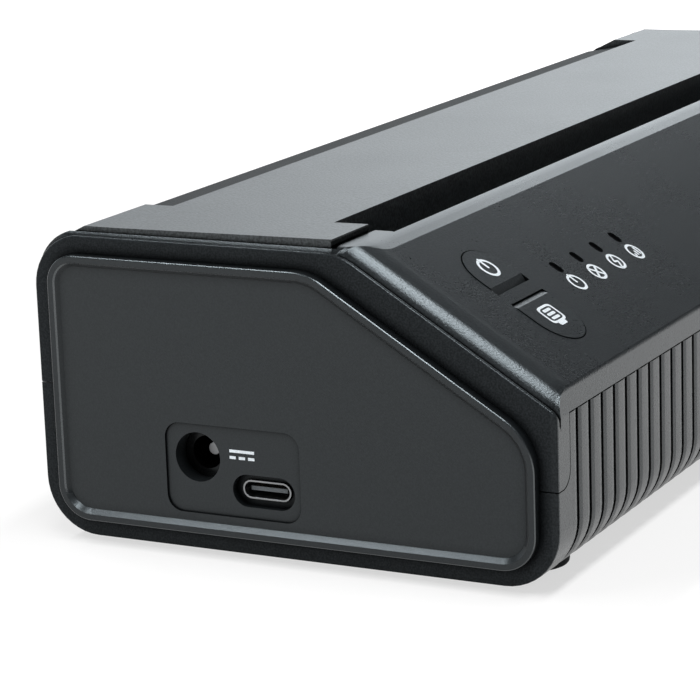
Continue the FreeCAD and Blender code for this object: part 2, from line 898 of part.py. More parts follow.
for side, tag in ((-1, "left"), (1, "right")):
    ledge_span = sides(side, slot_half, inner_end)
    ledge_y = (slot_near, ear_low_front)
    upper_adds.append(box(tag + "_ledge", ledge_span, ledge_y, (ledge_low, d.case_top - d.wall / 2)))
    cheek_span = sides(side, slot_half, slot_half + d.slot_wall)
    upper_adds.append(
        box(
            tag + "_slot_cheek",
            cheek_span,
            (slot_near - d.slot_wall, slot_far),
            (slot_wall_low, slot_wall_top),
        )
    )
    pocket_span = sides(side, rail_half, seat_half)
    pocket_low = d.case_top - d.pocket_drop
    upper_cuts.append(box(tag + "_pocket", pocket_span, (ear_low_front, back + past), (pocket_low, high)))
    pocket_radius = d.barrel_radius + d.barrel_gap
    upper_cuts.append(rod(tag + "_barrel_room", "x", pocket_radius, pocket_span, hinge_y, hinge_z))
    bore_span = sides(side, rail_half - d.pin_anchor, rail_half + past)
    upper_cuts.append(rod(tag + "_rail_bore", "x", d.pin_radius, bore_span, hinge_y, hinge_z))
for number, (x, y) in enumerate(screw_spots):
    slope_under = slope_foot + d.screw_inset * slope_tan - d.wall
    boss_top = slope_under if y.value < 0 else rail_body_low + d.wall
    upper_adds.append(rod(f"high_boss_{number}", "z", d.boss_radius, (d.boss_split, boss_top), x, y))
    screw_end = d.screw_top + d.wall
    upper_cuts.append(
        rod(f"high_hole_{number}", "z", d.screw_radius + d.screw_play, (-past, screw_end), x, y)
    )
    if y.value > 0:
        arm_x = (x - d.boss_radius, x + d.boss_radius)
        arm_z = (rail_body_low - d.wall, rail_body_low)
        upper_adds.append(box(f"boss_arm_{number}", arm_x, (y, back - d.wall / 2), arm_z))

# Buttons: a round end and a straight end with a finger bevel, over a retaining flange and a stem
button_x = d.button_margin - end
board_face = -(d.button_thick + d.button_flange_thick + d.stem_length + d.switch_gap
               + d.switch_plunger + d.switch_height)
button_half = d.button_width / 2


def button_blank(name, grow, straight, tip, out):
    # Half of a stadium between its straight edge and its round tip, grown all round
    half = button_half + grow
    upward = tip.value > straight.value
    turn = 1 if upward else -1
    centre = tip - turn * button_half
    low, top = (straight - grow, centre) if upward else (centre, straight + grow)
    sheet_box = slope_box(name + "_box", (button_x - half, button_x + half), (low, top), out)
    disc = slope_rod(name + "_disc", half, button_x, centre, out)
    limits = (straight - grow, tip + grow) if upward else (tip - grow, straight + grow)
    keep = slope_box(name + "_keep", (button_x - half, button_x + half), limits, out)
    return common(name, fuse(name + "_whole", [sheet_box, disc]), keep)


def bevel_tool(name, straight, width, depth, upward):
    # A wedge that takes the button's straight edge down towards the bridge between the two buttons
    half = button_half + d.overrun
    steep_value = math.degrees(math.atan(depth.value / width.value))
    steep = Size(f"(atan({depth.text} / {width.text}) / 1deg)", steep_value)
    turn = 1 if upward else -1
    tool = doc.addObject("Part::Box", name)
    bind(tool, "Length", 2 * half)
    bind(tool, "Width", past)
    bind(tool, "Height", past)
    angle = d.slope_angle + turn * steep
    tool.Placement.Rotation = FreeCAD.Rotation(FreeCAD.Vector(1, 0, 0), angle.value)
    bind(tool, "Placement.Rotation.Angle", angle)
    start = straight + turn * width
    corner = slope_at(button_x - half, start, d.button_proud)
    back_step = past if upward else zero
    place(
        tool,
        corner[0],
        corner[1] - back_step * trig("cos", angle),
        corner[2] - back_step * trig("sin", angle),
    )
    return tool


def button(label, straight, tip, bevel_width, bevel_depth):
    upward = tip.value > straight.value
    cap = button_blank(label + "_cap", zero, straight, tip, (-d.button_thick, d.button_proud))
    flange_low = -(d.button_thick + d.button_flange_thick)
    flange = button_blank(label + "_flange", d.button_flange, straight, tip, (flange_low, -d.button_thick))
    middle = (straight + tip) / 2
    stem_low = flange_low - d.stem_length
    stem = slope_rod(label + "_stem", d.stem_radius, button_x, middle, (stem_low, flange_low))
    bevel = bevel_tool(label + "_bevel", straight, bevel_width, bevel_depth, upward)
    bevelled = cut(label + "_bevelled", cap, [bevel])
    node(fuse(label + "_solid", [bevelled, flange, stem]), label)
    hole = button_blank(label + "_hole", d.button_clearance, straight, tip, (-d.overrun / 2, d.overrun))
    upper_cuts.append(hole)
    switch_top = stem_low - d.switch_gap
    switch_rim = board_face + d.switch_height
    base = slope_box(
        label + "_switch_base",
        (button_x - d.switch_size / 2, button_x + d.switch_size / 2),
        (middle - d.switch_size / 2, middle + d.switch_size / 2),
        (board_face, switch_rim),
    )
    plunger = slope_rod(label + "_plunger", d.stem_radius, button_x, middle, (switch_rim, switch_top))
    return fuse(label + "_switch", [base, plunger])


switches = [
    button("power_button", d.power_low, d.button_top, d.power_bevel_width, d.power_bevel_depth),
    button("battery_button", d.battery_high, d.button_bottom, d.battery_bevel_width, d.battery_bevel_depth),
]
node(group("switch_set", switches), "key_switches")

# Status lights: light pipes in slots of the slope, each over a lamp on the button board


def light_slot(name, x, play, out):
    half = d.light_width / 2 + play
    reach = (d.light_length - d.light_width) / 2
    bar = slope_box(name + "_bar", (x - half, x + half), (d.light_up - reach, d.light_up + reach), out)
    low_end = slope_rod(name + "_low", half, x, d.light_up - reach, out)
    top_end = slope_rod(name + "_top", half, x, d.light_up + reach, out)
    return fuse(name, [bar, low_end, top_end])


pipes = []
lamps = []
lamp_out = (board_face, board_face + d.led_height)
for number in range(sizes["light_count"]):
    x = d.light_margin - end + d.light_pitch * number
    upper_cuts.append(light_slot(f"light_hole_{number}", x, d.light_play, (-d.overrun / 2, d.overrun)))
    pipes.append(light_slot(f"pipe_{number}", x, zero, (lamp_out[1], -d.light_recess)))
    half = d.led_size / 2
    lamp_up = (d.light_up - half, d.light_up + half)
    lamps.append(slope_box(f"lamp_{number}", (x - half, x + half), lamp_up, lamp_out))
node(group("pipe_set", pipes), "light_pipes")
node(group("lamp_set", lamps), "status_leds")

board_x = (d.button_board_left - end, d.button_board_right - end)
button_board = slope_box(
    "button_board_plate",
    board_x,
    (d.button_board_low, d.button_board_high),
    (board_face - d.button_board_thick, board_face),
)
node(button_board, "button_board")
post_xs = (board_x[0] + d.post_inset, board_x[1] - d.post_inset)
post_ups = (d.button_board_low + d.post_inset, d.button_board_high - d.post_inset)
for number, (x, up) in enumerate([(x, up) for x in post_xs for up in post_ups]):
    upper_adds.append(slope_rod(f"board_post_{number}", d.post_radius, x, up, (board_face, -d.wall / 2)))
upper_solid = cut("upper_case_solid", fuse("upper_filled", upper_adds), upper_cuts, refine=False)
node(upper_solid, "upper_case")

# End panels: dished plates that plug into the end openings
port_x = -(end - d.dish_depth)


def stadium(name, width, height, span, across, up):
    # A round-ended bar along X
    reach = (width - height) / 2
    radius = height / 2
    bar = box(name + "_bar", span, (across - reach, across + reach), (up - radius, up + radius))
    ends = [rod(f"{name}_end_{turn}", "x", radius, span, across + turn * reach, up) for turn in (-1, 1)]
    return fuse(name, [bar] + ends)


for side, tag in ((-1, "left"), (1, "right")):
    plate = panel_prism(tag + "_plate", zero, *sides(side, case_end, end))
    plug = panel_prism(tag + "_plug", d.plug_inset, *sides(side, case_end - d.plug_depth, case_end))
    core = panel_prism(tag + "_core", d.plug_inset + d.plug_wall, *sides(side, inner_end - past, case_end))
    dish = panel_prism(tag + "_dish", d.rim_width, *sides(side, end - d.dish_depth, end + past))
    dress_end(plate, "Fillet", side, d.panel_edge_round)
    dress_end(dish, "Chamfer", -side, d.dish_depth)
    panel = fuse(tag + "_blank", [plate, cut(tag + "_rim", plug, [core])])
    tools = [dish]
    if side < 0:
        margin = d.port_block_margin
        block_y = (-d.port_front - margin, d.port_back + margin)
        block_z = (d.port_low - margin, d.port_high + margin)
        block = box("port_block", (-case_end, -inner_end), block_y, block_z)
        panel = fuse("left_with_block", [panel, block])
        recess_outline = [
            (-d.port_front, d.port_low, d.port_round),
            (d.port_back, d.port_low, d.port_round),
            (d.port_back, d.port_high, d.port_round),
            (-d.port_front, d.port_high, d.port_round),
        ]
        recess_end = port_x + d.port_depth
        tools.append(prism("port_recess", recess_outline, port_x - past, recess_end))
        through = (-end - past, -inner_end + past)
        tools.append(rod("dc_hole", "x", d.dc_hole_radius, through, d.dc_across, d.dc_height))
        pocket_end = recess_end + d.usb_pocket_depth
        pocket_span = (-end - past, pocket_end)
        width, height = d.usb_pocket_width, d.usb_pocket_height
        tools.append(stadium("usb_pocket", width, height, pocket_span, d.usb_across, d.usb_height))
        width, height = d.usb_width + 2 * d.plug_gap, d.usb_thick + 2 * d.plug_gap
        tools.append(stadium("usb_hole", width, height, through, d.usb_across, d.usb_height))
    node(cut(tag + "_end_panel_solid", panel, tools), tag + "_end_panel")

# Sockets behind the left panel
usb_span = (pocket_end - d.usb_proud, pocket_end - d.usb_proud + d.usb_length)
usb_outer = stadium("usb_outer", d.usb_width, d.usb_thick, usb_span, d.usb_across, d.usb_height)
usb_inner_width = d.usb_width - 2 * d.usb_sheet
usb_inner_thick = d.usb_thick - 2 * d.usb_sheet
usb_inner_span = (usb_span[0] - past, usb_span[1] - d.usb_sheet)
usb_inner = stadium("usb_inner", usb_inner_width, usb_inner_thick, usb_inner_span, d.usb_across, d.usb_height)
node(cut("usb_shell_solid", usb_outer, [usb_inner]), "usb_shell")
tongue_half = d.usb_tongue_width / 2
tongue_thick = d.usb_tongue_thick / 2
tongue = box(
    "usb_tongue_bar",
    (usb_span[0] + d.usb_tongue_back, usb_span[1] - d.usb_sheet),
    (d.usb_across - tongue_half, d.usb_across + tongue_half),
    (d.usb_height - tongue_thick, d.usb_height + tongue_thick),
)
node(tongue, "usb_tongue")
jack_front = -inner_end + d.plug_gap
jack_span = (jack_front, -(end - d.dc_body_back - d.frame_thick))
jack_half = d.dc_body_width / 2
jack_block = box(
    "dc_block",
    jack_span,
    (d.dc_across - jack_half, d.dc_across + jack_half),
    (d.board_top, d.dc_height + jack_half),
)
jack_bore_span = (jack_front - past, jack_front + d.dc_bore_depth)
jack_bore = rod("dc_bore", "x", d.dc_bore_radius, jack_bore_span, d.dc_across, d.dc_height)
node(cut("dc_jack_solid", jack_block, [jack_bore]), "dc_jack")
pin_span = (jack_front + d.dc_pin_back, jack_front + d.dc_bore_depth)
node(rod("dc_pin_rod", "x", d.dc_pin_radius, pin_span, d.dc_across, d.dc_height), "dc_pin")

# Feet and case screws
feet = []
for number, (x, y) in enumerate(foot_spots):
    feet.append(rod(f"foot_{number}", "z", d.foot_radius, (zero, bottom + d.foot_sink), x, y))
node(group("foot_set", feet), "rubber_feet")
screws = []
for number, (x, y) in enumerate(screw_spots):
    head_low = bottom + d.screw_sink
    head_span = (head_low, head_low + d.screw_head_height)
    head = rod(f"screw_head_{number}", "z", d.screw_head_radius, head_span, x, y)
    shank = rod(f"screw_shank_{number}", "z", d.screw_radius, (head_low, d.screw_top), x, y)
    screws.append(fuse(f"screw_{number}", [head, shank]))
node(group("screw_set", screws), "case_screws")

# Lid: plate with front tabs, slot skirt, platen hangers and rear ears that end in hinge barrels
plate_outline = [
    (tab_front + d.tab_undercut, lid_low),
    (tab_front, lid_front_top - d.lid_front_rise),
    (tab_front, lid_front_top),
    (notch_y, lid_back_top),
    (notch_y - d.notch_undercut, lid_low),
]
lid_pieces = [prism("lid_plate", plate_outline, -lid_half, lid_half)]
lid_cuts = []
skirt_y = (lid_front, lid_front + d.skirt_thick)
skirt_half = slot_half - d.lid_gap
skirt_z = (lid_low + d.lid_sink / 2 - d.skirt_height, lid_low + d.lid_sink / 2)
lid_pieces.append(box("lid_skirt", (-skirt_half, skirt_half), skirt_y, skirt_z))
notch_reach = slot_half + d.lid_gap
front_notch = box(
    "lid_front_notch", (-notch_reach, notch_reach), (tab_front - past, lid_front), (lid_low - past, high)
)
hanger_in = frame_x - d.hanger_gap - d.hanger_thick


def barrel_point(angle):
    # A point on the hinge barrel, by its angle from +Y towards +Z
    return hinge_y + d.barrel_radius * trig("cos", angle), hinge_z + d.barrel_radius * trig("sin", angle)


ear_back_y = back - d.ear_back
ear_outline = [
    (notch_y - d.notch_undercut - d.notch_round, lid_low),
    (notch_y - d.notch_undercut - d.notch_round, lid_back_top),
    (ear_back_y, lid_back_top),
    barrel_point(d.ear_back_angle),
    (hinge_y, hinge_z),
    barrel_point(d.ear_front_angle),
]
for side, tag in ((-1, "left"), (1, "right")):
    ear_span = sides(side, notch_half, lid_half)
    lid_pieces.append(prism(tag + "_ear", ear_outline, *ear_span))
    lid_pieces.append(rod(tag + "_barrel", "x", d.barrel_radius, ear_span, hinge_y, hinge_z))
    bore_span = sides(side, notch_half - past, lid_half - d.wall)
    lid_cuts.append(rod(tag + "_ear_bore", "x", d.pin_radius + d.pin_play, bore_span, hinge_y, hinge_z))
    hanger_span = sides(side, hanger_in, hanger_in + d.hanger_thick)
    hanger_y = (platen_y - d.hanger_radius, platen_y + d.hanger_radius)
    lid_pieces.append(box(tag + "_hanger", hanger_span, hanger_y, (platen_z, lid_low + d.lid_sink / 2)))
    lid_pieces.append(rod(tag + "_hanger_eye", "x", d.hanger_radius, hanger_span, platen_y, platen_z))
    lid_cuts.append(rod(tag + "_bush_hole", "x", d.bush_radius, hanger_span, platen_y, platen_z))
lid_solid = cut("lid_solid", fuse("lid_whole", lid_pieces), [front_notch] + lid_cuts)
node(lid_solid, "lid")
pins = []
for side, tag in ((-1, "left"), (1, "right")):
    pin_span = sides(side, rail_half - d.pin_anchor, lid_half - d.wall - d.lid_gap)
    pins.append(rod(tag + "_pin", "x", d.pin_radius, pin_span, hinge_y, hinge_z))
node(group("pin_set", pins), "hinge_pins")

# Platen: rubber roller on a steel shaft in two bushes that hang from the lid
gear_x = frame_out + d.gear_gap
gear_end = gear_x + d.gear_width
platen_half = hanger_in - d.platen_end_gap
left_end = -(frame_out + d.shaft_overhang)
shaft_span = (left_end, gear_end + d.gear_post_proud)
shaft = rod("platen_shaft_bar", "x", d.shaft_radius, shaft_span, platen_y, platen_z)
node(shaft, "platen_shaft")
sleeve = rod("platen_sleeve", "x", d.platen_radius, (-platen_half, platen_half), platen_y, platen_z)
sleeve_bore = rod("platen_sleeve_bore", "x", d.shaft_radius, (-end, end), platen_y, platen_z)
node(cut("platen_rubber_solid", sleeve, [sleeve_bore]), "platen_rubber")
bushes = []
for side, tag in ((-1, "left"), (1, "right")):
    bush_span = sides(side, hanger_in, frame_out + d.hanger_gap / 2)
    bush = rod(tag + "_bush", "x", d.bush_radius, bush_span, platen_y, platen_z)
    bush_bore = rod(tag + "_bush_bore", "x", d.shaft_radius + d.shaft_play, bush_span, platen_y, platen_z)
    bushes.append(cut(tag + "_bush_ring", bush, [bush_bore]))
node(group("bush_set", bushes), "platen_bushes")

# Gear train: platen gear, two idlers and the motor pinion, phased so that teeth stand in gaps


def next_phase(phase, teeth, next_teeth, angle):
    # The angle of a tooth of the next gear when a tooth of this gear stands at the phase angle
    lag = math.fmod(angle.value - phase, 360 / teeth.value)
    return angle.value + 180 + lag * teeth.value / next_teeth.value + 180 / next_teeth.value


def gear(label, teeth, y, z, bore, phase):
    # Straight-flanked teeth between a root and a tip circle, thinned by the backlash
    module = d.gear_module.value
    pitch = pitch_radius(teeth).value
    dedendum = d.root_share.value * module
    root = pitch - dedendum
    tip = pitch + module
    thick = math.pi * module / 2 - d.gear_backlash.value
    flank = math.tan(math.radians(d.pressure_angle.value))
    widths = [(root, thick + 2 * dedendum * flank), (tip, thick - 2 * module * flank)]
    points = []
    for tooth in range(int(teeth.value)):
        middle = math.radians(phase + 360 / teeth.value * tooth)
        root_half, tip_half = [width / (2 * radius) for radius, width in widths]
        for radius, turn in ((root, -root_half), (tip, -tip_half), (tip, tip_half), (root, root_half)):
            angle = middle + turn
            points.append(FreeCAD.Vector(0, radius * math.cos(angle), radius * math.sin(angle)))
    wheel = Part.Face(Part.makePolygon(points + points[:1])).extrude(FreeCAD.Vector(d.gear_width.value, 0, 0))
    hole = Part.makeCylinder(bore.value, d.gear_width.value, FreeCAD.Vector(), FreeCAD.Vector(1, 0, 0))
    thing = doc.addObject("Part::Feature", label + "_wheel")
    thing.Shape = wheel.cut(hole)
    place(thing, gear_x, y, z)
    return node(thing, label)


first_phase = next_phase(d.first_angle.value, d.platen_teeth, d.first_teeth, d.first_angle)
second_phase = next_phase(first_phase, d.first_teeth, d.second_teeth, d.second_angle)
pinion_phase = next_phase(second_phase, d.second_teeth, d.pinion_teeth, d.pinion_angle)
post_bore = d.gear_post_radius + d.gear_play
gear("platen_gear", d.platen_teeth, platen_y, platen_z, d.shaft_radius, d.first_angle.value)
gear("idler_gear_1", d.first_teeth, first_y, first_z, post_bore, first_phase)
gear("idler_gear_2", d.second_teeth, second_y, second_z, post_bore, second_phase)
gear("motor_pinion", d.pinion_teeth, motor_y, motor_z, d.motor_shaft_radius, pinion_phase)
post_span = (frame_out, gear_end + d.gear_post_proud)
posts = [
    rod("first_post", "x", d.gear_post_radius, post_span, first_y, first_z),
    rod("second_post", "x", d.gear_post_radius, post_span, second_y, second_z),
]
node(group("post_set", posts), "gear_posts")
motor_span = (frame_x - d.motor_length, frame_x)
motor_can = rod("motor_can", "x", d.motor_radius, motor_span, motor_y, motor_z)
shaft_start = frame_x - d.motor_shaft_depth
shaft_room = d.motor_shaft_radius + d.motor_shaft_play
motor_bore = rod("motor_bore", "x", shaft_room, (shaft_start, frame_x + past), motor_y, motor_z)
node(cut("motor_body_solid", motor_can, [motor_bore]), "motor_body")
motor_shaft_span = (shaft_start, gear_end + d.gear_post_proud)
node(rod("motor_shaft_rod", "x", d.motor_shaft_radius, motor_shaft_span, motor_y, motor_z), "motor_shaft")

# Print head: ceramic plate on a heat sink whose end tabs ride in the side frames, over two leaf springs
head_top = platen_z - d.platen_radius - d.head_gap
head_low = head_top - d.head_thick
head_half = frame_x - d.head_end
head_y = (platen_y - d.head_front, platen_y + d.head_back)
node(box("print_head_plate", (-head_half, head_half), head_y, (head_low, head_top)), "print_head")
sink_low = head_low - d.sink_thick
sink_half = frame_x - d.sink_end_gap
sink_y = (head_y[0] + d.sink_inset, head_y[1] - d.sink_inset)
sink_bar = box("sink_bar", (-sink_half, sink_half), sink_y, (sink_low, head_low))
tab_y = (platen_y - d.sink_tab_half, platen_y + d.sink_tab_half)
tab_z = (sink_low + d.sink_tab_low, sink_low + d.sink_tab_high)
tab_half = frame_out + d.sink_tab_proud
sink_tabs = box("sink_tabs", (-tab_half, tab_half), tab_y, tab_z)
node(fuse("head_heat_sink_solid", [sink_bar, sink_tabs]), "head_heat_sink")
bracket_top = sink_low - d.spring_height
bracket_y = (platen_y - d.bracket_front, platen_y + d.bracket_back)
bracket_z = (bracket_top - d.bracket_thick, bracket_top)
bracket_plate = box("bracket_plate", (-frame_x, frame_x), bracket_y, bracket_z)
bracket_lip = box(
    "bracket_lip",
    (-frame_x, frame_x),
    (bracket_y[0], bracket_y[0] + d.bracket_thick),
    (bracket_top - d.bracket_flange, bracket_top),
)
node(fuse("head_bracket_solid", [bracket_plate, bracket_lip]), "head_bracket")
springs = []
for side, tag in ((-1, "left"), (1, "right")):
    sheet_half = d.spring_sheet / 2
    bow = [
        (platen_y - d.spring_half - d.spring_sheet, bracket_top),
        (platen_y - d.spring_half + d.spring_sheet, bracket_top),
        (platen_y, sink_low - 2 * d.spring_sheet),
        (platen_y + d.spring_half - d.spring_sheet, bracket_top),
        (platen_y + d.spring_half + d.spring_sheet, bracket_top),
        (platen_y + d.spring_sheet, sink_low),
        (platen_y - d.spring_sheet, sink_low),
    ]
    middle = side * d.spring_across
    springs.append(prism(tag + "_spring", bow, middle - d.spring_width / 2, middle + d.spring_width / 2))
node(group("spring_set", springs), "head_springs")
sensor_y = (bracket_y[1] - d.sensor_depth, bracket_y[1])
sensor_x = (-d.sensor_across, -d.sensor_across + d.sensor_width)
node(box("sensor_block", sensor_x, sensor_y, (bracket_top, bracket_top + d.sensor_height)), "paper_sensor")

# Side frames: sheet cheeks with an open slot for the platen bush and a window for the head's tab
frame_top = platen_z + d.frame_top_rise
frame_front = platen_y - d.frame_front
frame_back = back - d.frame_back
for side, tag in ((-1, "left"), (1, "right")):
    neck_y = board_back + d.frame_neck_gap
    heel_y = cavity_back - cavity_round
    outline = [
        (neck_y, floor),
        (heel_y, floor),
        (frame_back, floor + cavity_round),
        (frame_back, d.case_top - d.frame_low_drop),
        (platen_y + d.frame_shoulder, frame_top),
        (frame_front, frame_top),
        (frame_front, d.frame_board_room),
        (neck_y, d.frame_board_room),
    ]
    frame_span = sides(side, frame_x, frame_out)
    pieces = [prism(tag + "_cheek", outline, *frame_span)]
    flange_span = sides(side, frame_x, frame_out + d.frame_flange)
    flange_y = (heel_y - d.frame_flange_length, heel_y)
    pieces.append(box(tag + "_flange", flange_span, flange_y, (floor, floor + d.frame_thick)))
    half = d.bush_radius + d.frame_slot_gap
    throat = [
        (platen_y + half, platen_z),
        (platen_y + half, frame_top + past),
        (platen_y - half - d.frame_slot_flare, frame_top + past),
        (platen_y - half, platen_z),
    ]
    window_y = (tab_y[0] - d.frame_slot_gap, tab_y[1] + d.frame_slot_gap)
    window_z = (tab_z[0] - d.head_travel - d.frame_slot_gap, tab_z[1] + d.frame_slot_gap / 2)
    tools = [
        prism(tag + "_throat", throat, *frame_span),
        rod(tag + "_seat", "x", half, frame_span, platen_y, platen_z),
        box(tag + "_window", frame_span, window_y, window_z),
    ]
    if side > 0:
        plate_y = (motor_y - d.motor_plate_front, neck_y)
        plate_z = (motor_z - d.motor_plate_low, motor_z + d.motor_plate_high)
        pieces.append(box("motor_plate", frame_span, plate_y, plate_z))
        tools.append(rod("motor_hole", "x", d.motor_hole_radius, frame_span, motor_y, motor_z))
    node(cut(tag + "_side_frame_solid", fuse(tag + "_frame_blank", pieces), tools), tag + "_side_frame")

# Paper bay: a round trough on saddles between the side frames
bay_half = frame_x - d.bay_end_gap


def trough(name, radius, top):
    # The section of a trough: a round bottom below two straight walls
    low = rod(name + "_round", "x", radius, (-bay_half, bay_half), bay_y, bay_z)
    walls = prism(
        name + "_walls",
        [(bay_y - radius, bay_z), (bay_y + radius, bay_z), (bay_y + radius, top), (bay_y - radius, top)],
        -bay_half,
        bay_half,
    )
    return fuse(name, [low, walls])


rise_front = bracket_top - d.bracket_thick - d.bay_head_gap
rise_back = rail_body_low - d.bay_rail_gap
outer_part = trough("bay_blank", bay_outer, rise_back)
hollow = trough("bay_hollow", bay_outer - d.bay_wall, high)
front_trim = box("bay_front_trim", (-bay_half, bay_half), (bay_front - past, bay_y), (rise_front, high))
saddles = []
for number, share in enumerate((-1, 0, 1)):
    middle = share * (bay_half - d.bay_saddle_thick / 2)
    half = d.bay_saddle_thick / 2
    saddle_y = (bay_y - d.bay_saddle_width / 2, bay_y + d.bay_saddle_width / 2)
    saddles.append(box(f"bay_saddle_{number}", (middle - half, middle + half), saddle_y, (floor, bay_z)))
node(cut("paper_bay_solid", fuse("bay_whole", [outer_part] + saddles), [hollow, front_trim]), "paper_bay")

# Battery: two cells in line in a cradle with end plates
cell_y = front + d.cell_inset
cell_z = floor + d.cell_floor + d.cell_radius + d.cell_play
cells = []
rooms = []
for number, turn in enumerate((-1, 1)):
    near = d.cell_gap / 2
    span = sides(turn, near, near + d.cell_length)
    span = (span[0] - d.cell_middle, span[1] - d.cell_middle)
    cells.append(rod(f"cell_{number}", "x", d.cell_radius, span, cell_y, cell_z))
run = d.cell_length + d.cell_gap / 2 + d.cell_play
run_span = (-run - d.cell_middle, run - d.cell_middle)
node(group("cell_set", cells), "battery_cells")
holder_span = (run_span[0] - d.holder_end, run_span[1] + d.holder_end)
holder_y = (cell_y - d.holder_front, holder_back)
cradle = box("cradle", holder_span, holder_y, (floor, floor + d.holder_height))
end_z = (floor, floor + d.holder_end_height)
caps = [
    box("left_cap", (holder_span[0], run_span[0]), holder_y, end_z),
    box("right_cap", (run_span[1], holder_span[1]), holder_y, end_z),
]
cell_room = rod("cell_room", "x", d.cell_radius + d.cell_play, run_span, cell_y, cell_z)
node(cut("battery_holder_solid", fuse("holder_blank", [cradle] + caps), [cell_room]), "battery_holder")

# Main board: a long strip behind the battery with an arm that carries the sockets
strip = box("board_strip", (board_left, board_right), (board_front, board_back), (board_low, d.board_top))
arm = box("board_arm", (board_left, port_right), (board_back, d.board_port_back), (board_low, d.board_top))
node(fuse("main_board_solid", [strip, arm]), "main_board")

doc.recompute()
failed = [thing.Label for thing in doc.Objects if "Invalid" in thing.State or "Error" in thing.State]
if failed:
    raise RuntimeError(f"These objects failed: {failed}")
os.makedirs("parts", exist_ok=True)
for thing in nodes:
    shape = thing.Shape
    if shape.isNull() or not shape.isValid():
        raise RuntimeError(f"{thing.Label} has no valid shape")
for thing in nodes:
    thing.Shape.exportStep(f"parts/{thing.Label}.step")
    print(thing.Label, len(thing.Shape.Solids), round(thing.Shape.Volume, 1))
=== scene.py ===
import json
import math
import bmesh
import bpy
import numpy as np
from mathutils import Matrix, Vector


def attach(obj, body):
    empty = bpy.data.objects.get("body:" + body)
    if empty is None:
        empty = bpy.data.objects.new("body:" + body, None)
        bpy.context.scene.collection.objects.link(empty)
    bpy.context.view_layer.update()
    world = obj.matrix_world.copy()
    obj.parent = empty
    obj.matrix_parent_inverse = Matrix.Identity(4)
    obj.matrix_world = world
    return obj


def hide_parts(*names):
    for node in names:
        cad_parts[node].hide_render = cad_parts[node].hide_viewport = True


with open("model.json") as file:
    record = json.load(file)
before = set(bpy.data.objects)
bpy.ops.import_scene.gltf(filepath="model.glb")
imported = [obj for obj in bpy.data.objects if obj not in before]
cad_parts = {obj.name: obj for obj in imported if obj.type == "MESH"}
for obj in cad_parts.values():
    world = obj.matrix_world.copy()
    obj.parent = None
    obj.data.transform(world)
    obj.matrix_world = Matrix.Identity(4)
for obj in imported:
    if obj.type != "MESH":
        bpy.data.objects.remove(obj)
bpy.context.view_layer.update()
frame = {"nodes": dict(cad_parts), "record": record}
nodes = frame["nodes"]
scene = bpy.context.scene
print("stage: frame loaded,", len(nodes), "nodes")

# camera, fitted to the straight edges of the photograph
cameraSpec = {
    "place": (-0.5158, -0.21327, 0.14308),
    "azimuth": -62.472,
    "elevation": 13.652,
    "roll": 2.015,
    "lens": 146.26,
    "sensor": 36,
    "reach": 50,
}


def aimCamera(spec):
    az, el, roll = (math.radians(spec[k]) for k in ("azimuth", "elevation", "roll"))
    ahead = Vector((-math.sin(az) * math.cos(el), math.cos(az) * math.cos(el), -math.sin(el)))
    right = ahead.cross(Vector((0, 0, 1))).normalized()
    down = ahead.cross(right)
    across = right * math.cos(roll) + down * math.sin(roll)
    under = down * math.cos(roll) - right * math.sin(roll)
    data = bpy.data.cameras.new("studioCamera")
    data.lens, data.sensor_width, data.clip_end = spec["lens"], spec["sensor"], spec["reach"]
    camera = bpy.data.objects.new("studioCamera", data)
    turn = Matrix((across, -under, -ahead)).transposed()
    camera.matrix_world = Matrix.Translation(spec["place"]) @ turn.to_4x4()
    scene.collection.objects.link(camera)
    scene.camera = camera


aimCamera(cameraSpec)


# node graph helpers
class Graph:
    def __init__(self, tree):
        self.tree = tree
        tree.nodes.clear()

    def add(self, kind, label="", **values):
        node = self.tree.nodes.new(kind)
        node.label = label
        for key, value in values.items():
            if hasattr(node, key):
                setattr(node, key, value)
        return node

    def put(self, node, **values):
        for key, value in values.items():
            socket = node.inputs[key.replace("_", " ")]
            if isinstance(value, bpy.types.NodeSocket):
                self.tree.links.new(value, socket)
            else:
                socket.default_value = value
        return node

    def math(self, operation, first, second=0.0):
        node = self.add("ShaderNodeMath", operation=operation)
        for socket, value in zip(node.inputs, (first, second)):
            if isinstance(value, bpy.types.NodeSocket):
                self.tree.links.new(value, socket)
            else:
                socket.default_value = value
        return node.outputs[0]

    def span(self, value, low, high, toLow, toHigh):
        node = self.add("ShaderNodeMapRange", clamp=True)
        self.put(node, Value=value, From_Min=low, From_Max=high, To_Min=toLow, To_Max=toHigh)
        return node.outputs["Result"]

    def noise(self, where, scale, detail=2.0, rough=0.5):
        node = self.add("ShaderNodeTexNoise")
        self.put(node, Vector=where, Scale=scale, Detail=detail, Roughness=rough)
        return node.outputs["Fac"]

    def blend(self, factor, first, second):
        node = self.add("ShaderNodeMix", data_type="RGBA")
        for index, value in ((0, factor), (6, first), (7, second)):
            if isinstance(value, bpy.types.NodeSocket):
                self.tree.links.new(value, node.inputs[index])
            else:
                node.inputs[index].default_value = value
        return node.outputs[2]


def rgb(colour, lift=1.0):
    return (*(min(1.0, channel * lift) for channel in colour), 1.0)


def edgeMask(graph, radius):
    # how far the rounded normal leaves the true one: nought on flats, up to one along edges
    bevel = graph.put(graph.add("ShaderNodeBevel", samples=6), Radius=radius)
    truth = graph.add("ShaderNodeNewGeometry").outputs["Normal"]
    dot = graph.add("ShaderNodeVectorMath", operation="DOT_PRODUCT")
    graph.tree.links.new(bevel.outputs[0], dot.inputs[0])
    graph.tree.links.new(truth, dot.inputs[1])
    return bevel.outputs[0], graph.span(dot.outputs["Value"], 0.995, 0.75, 0.0, 1.0)


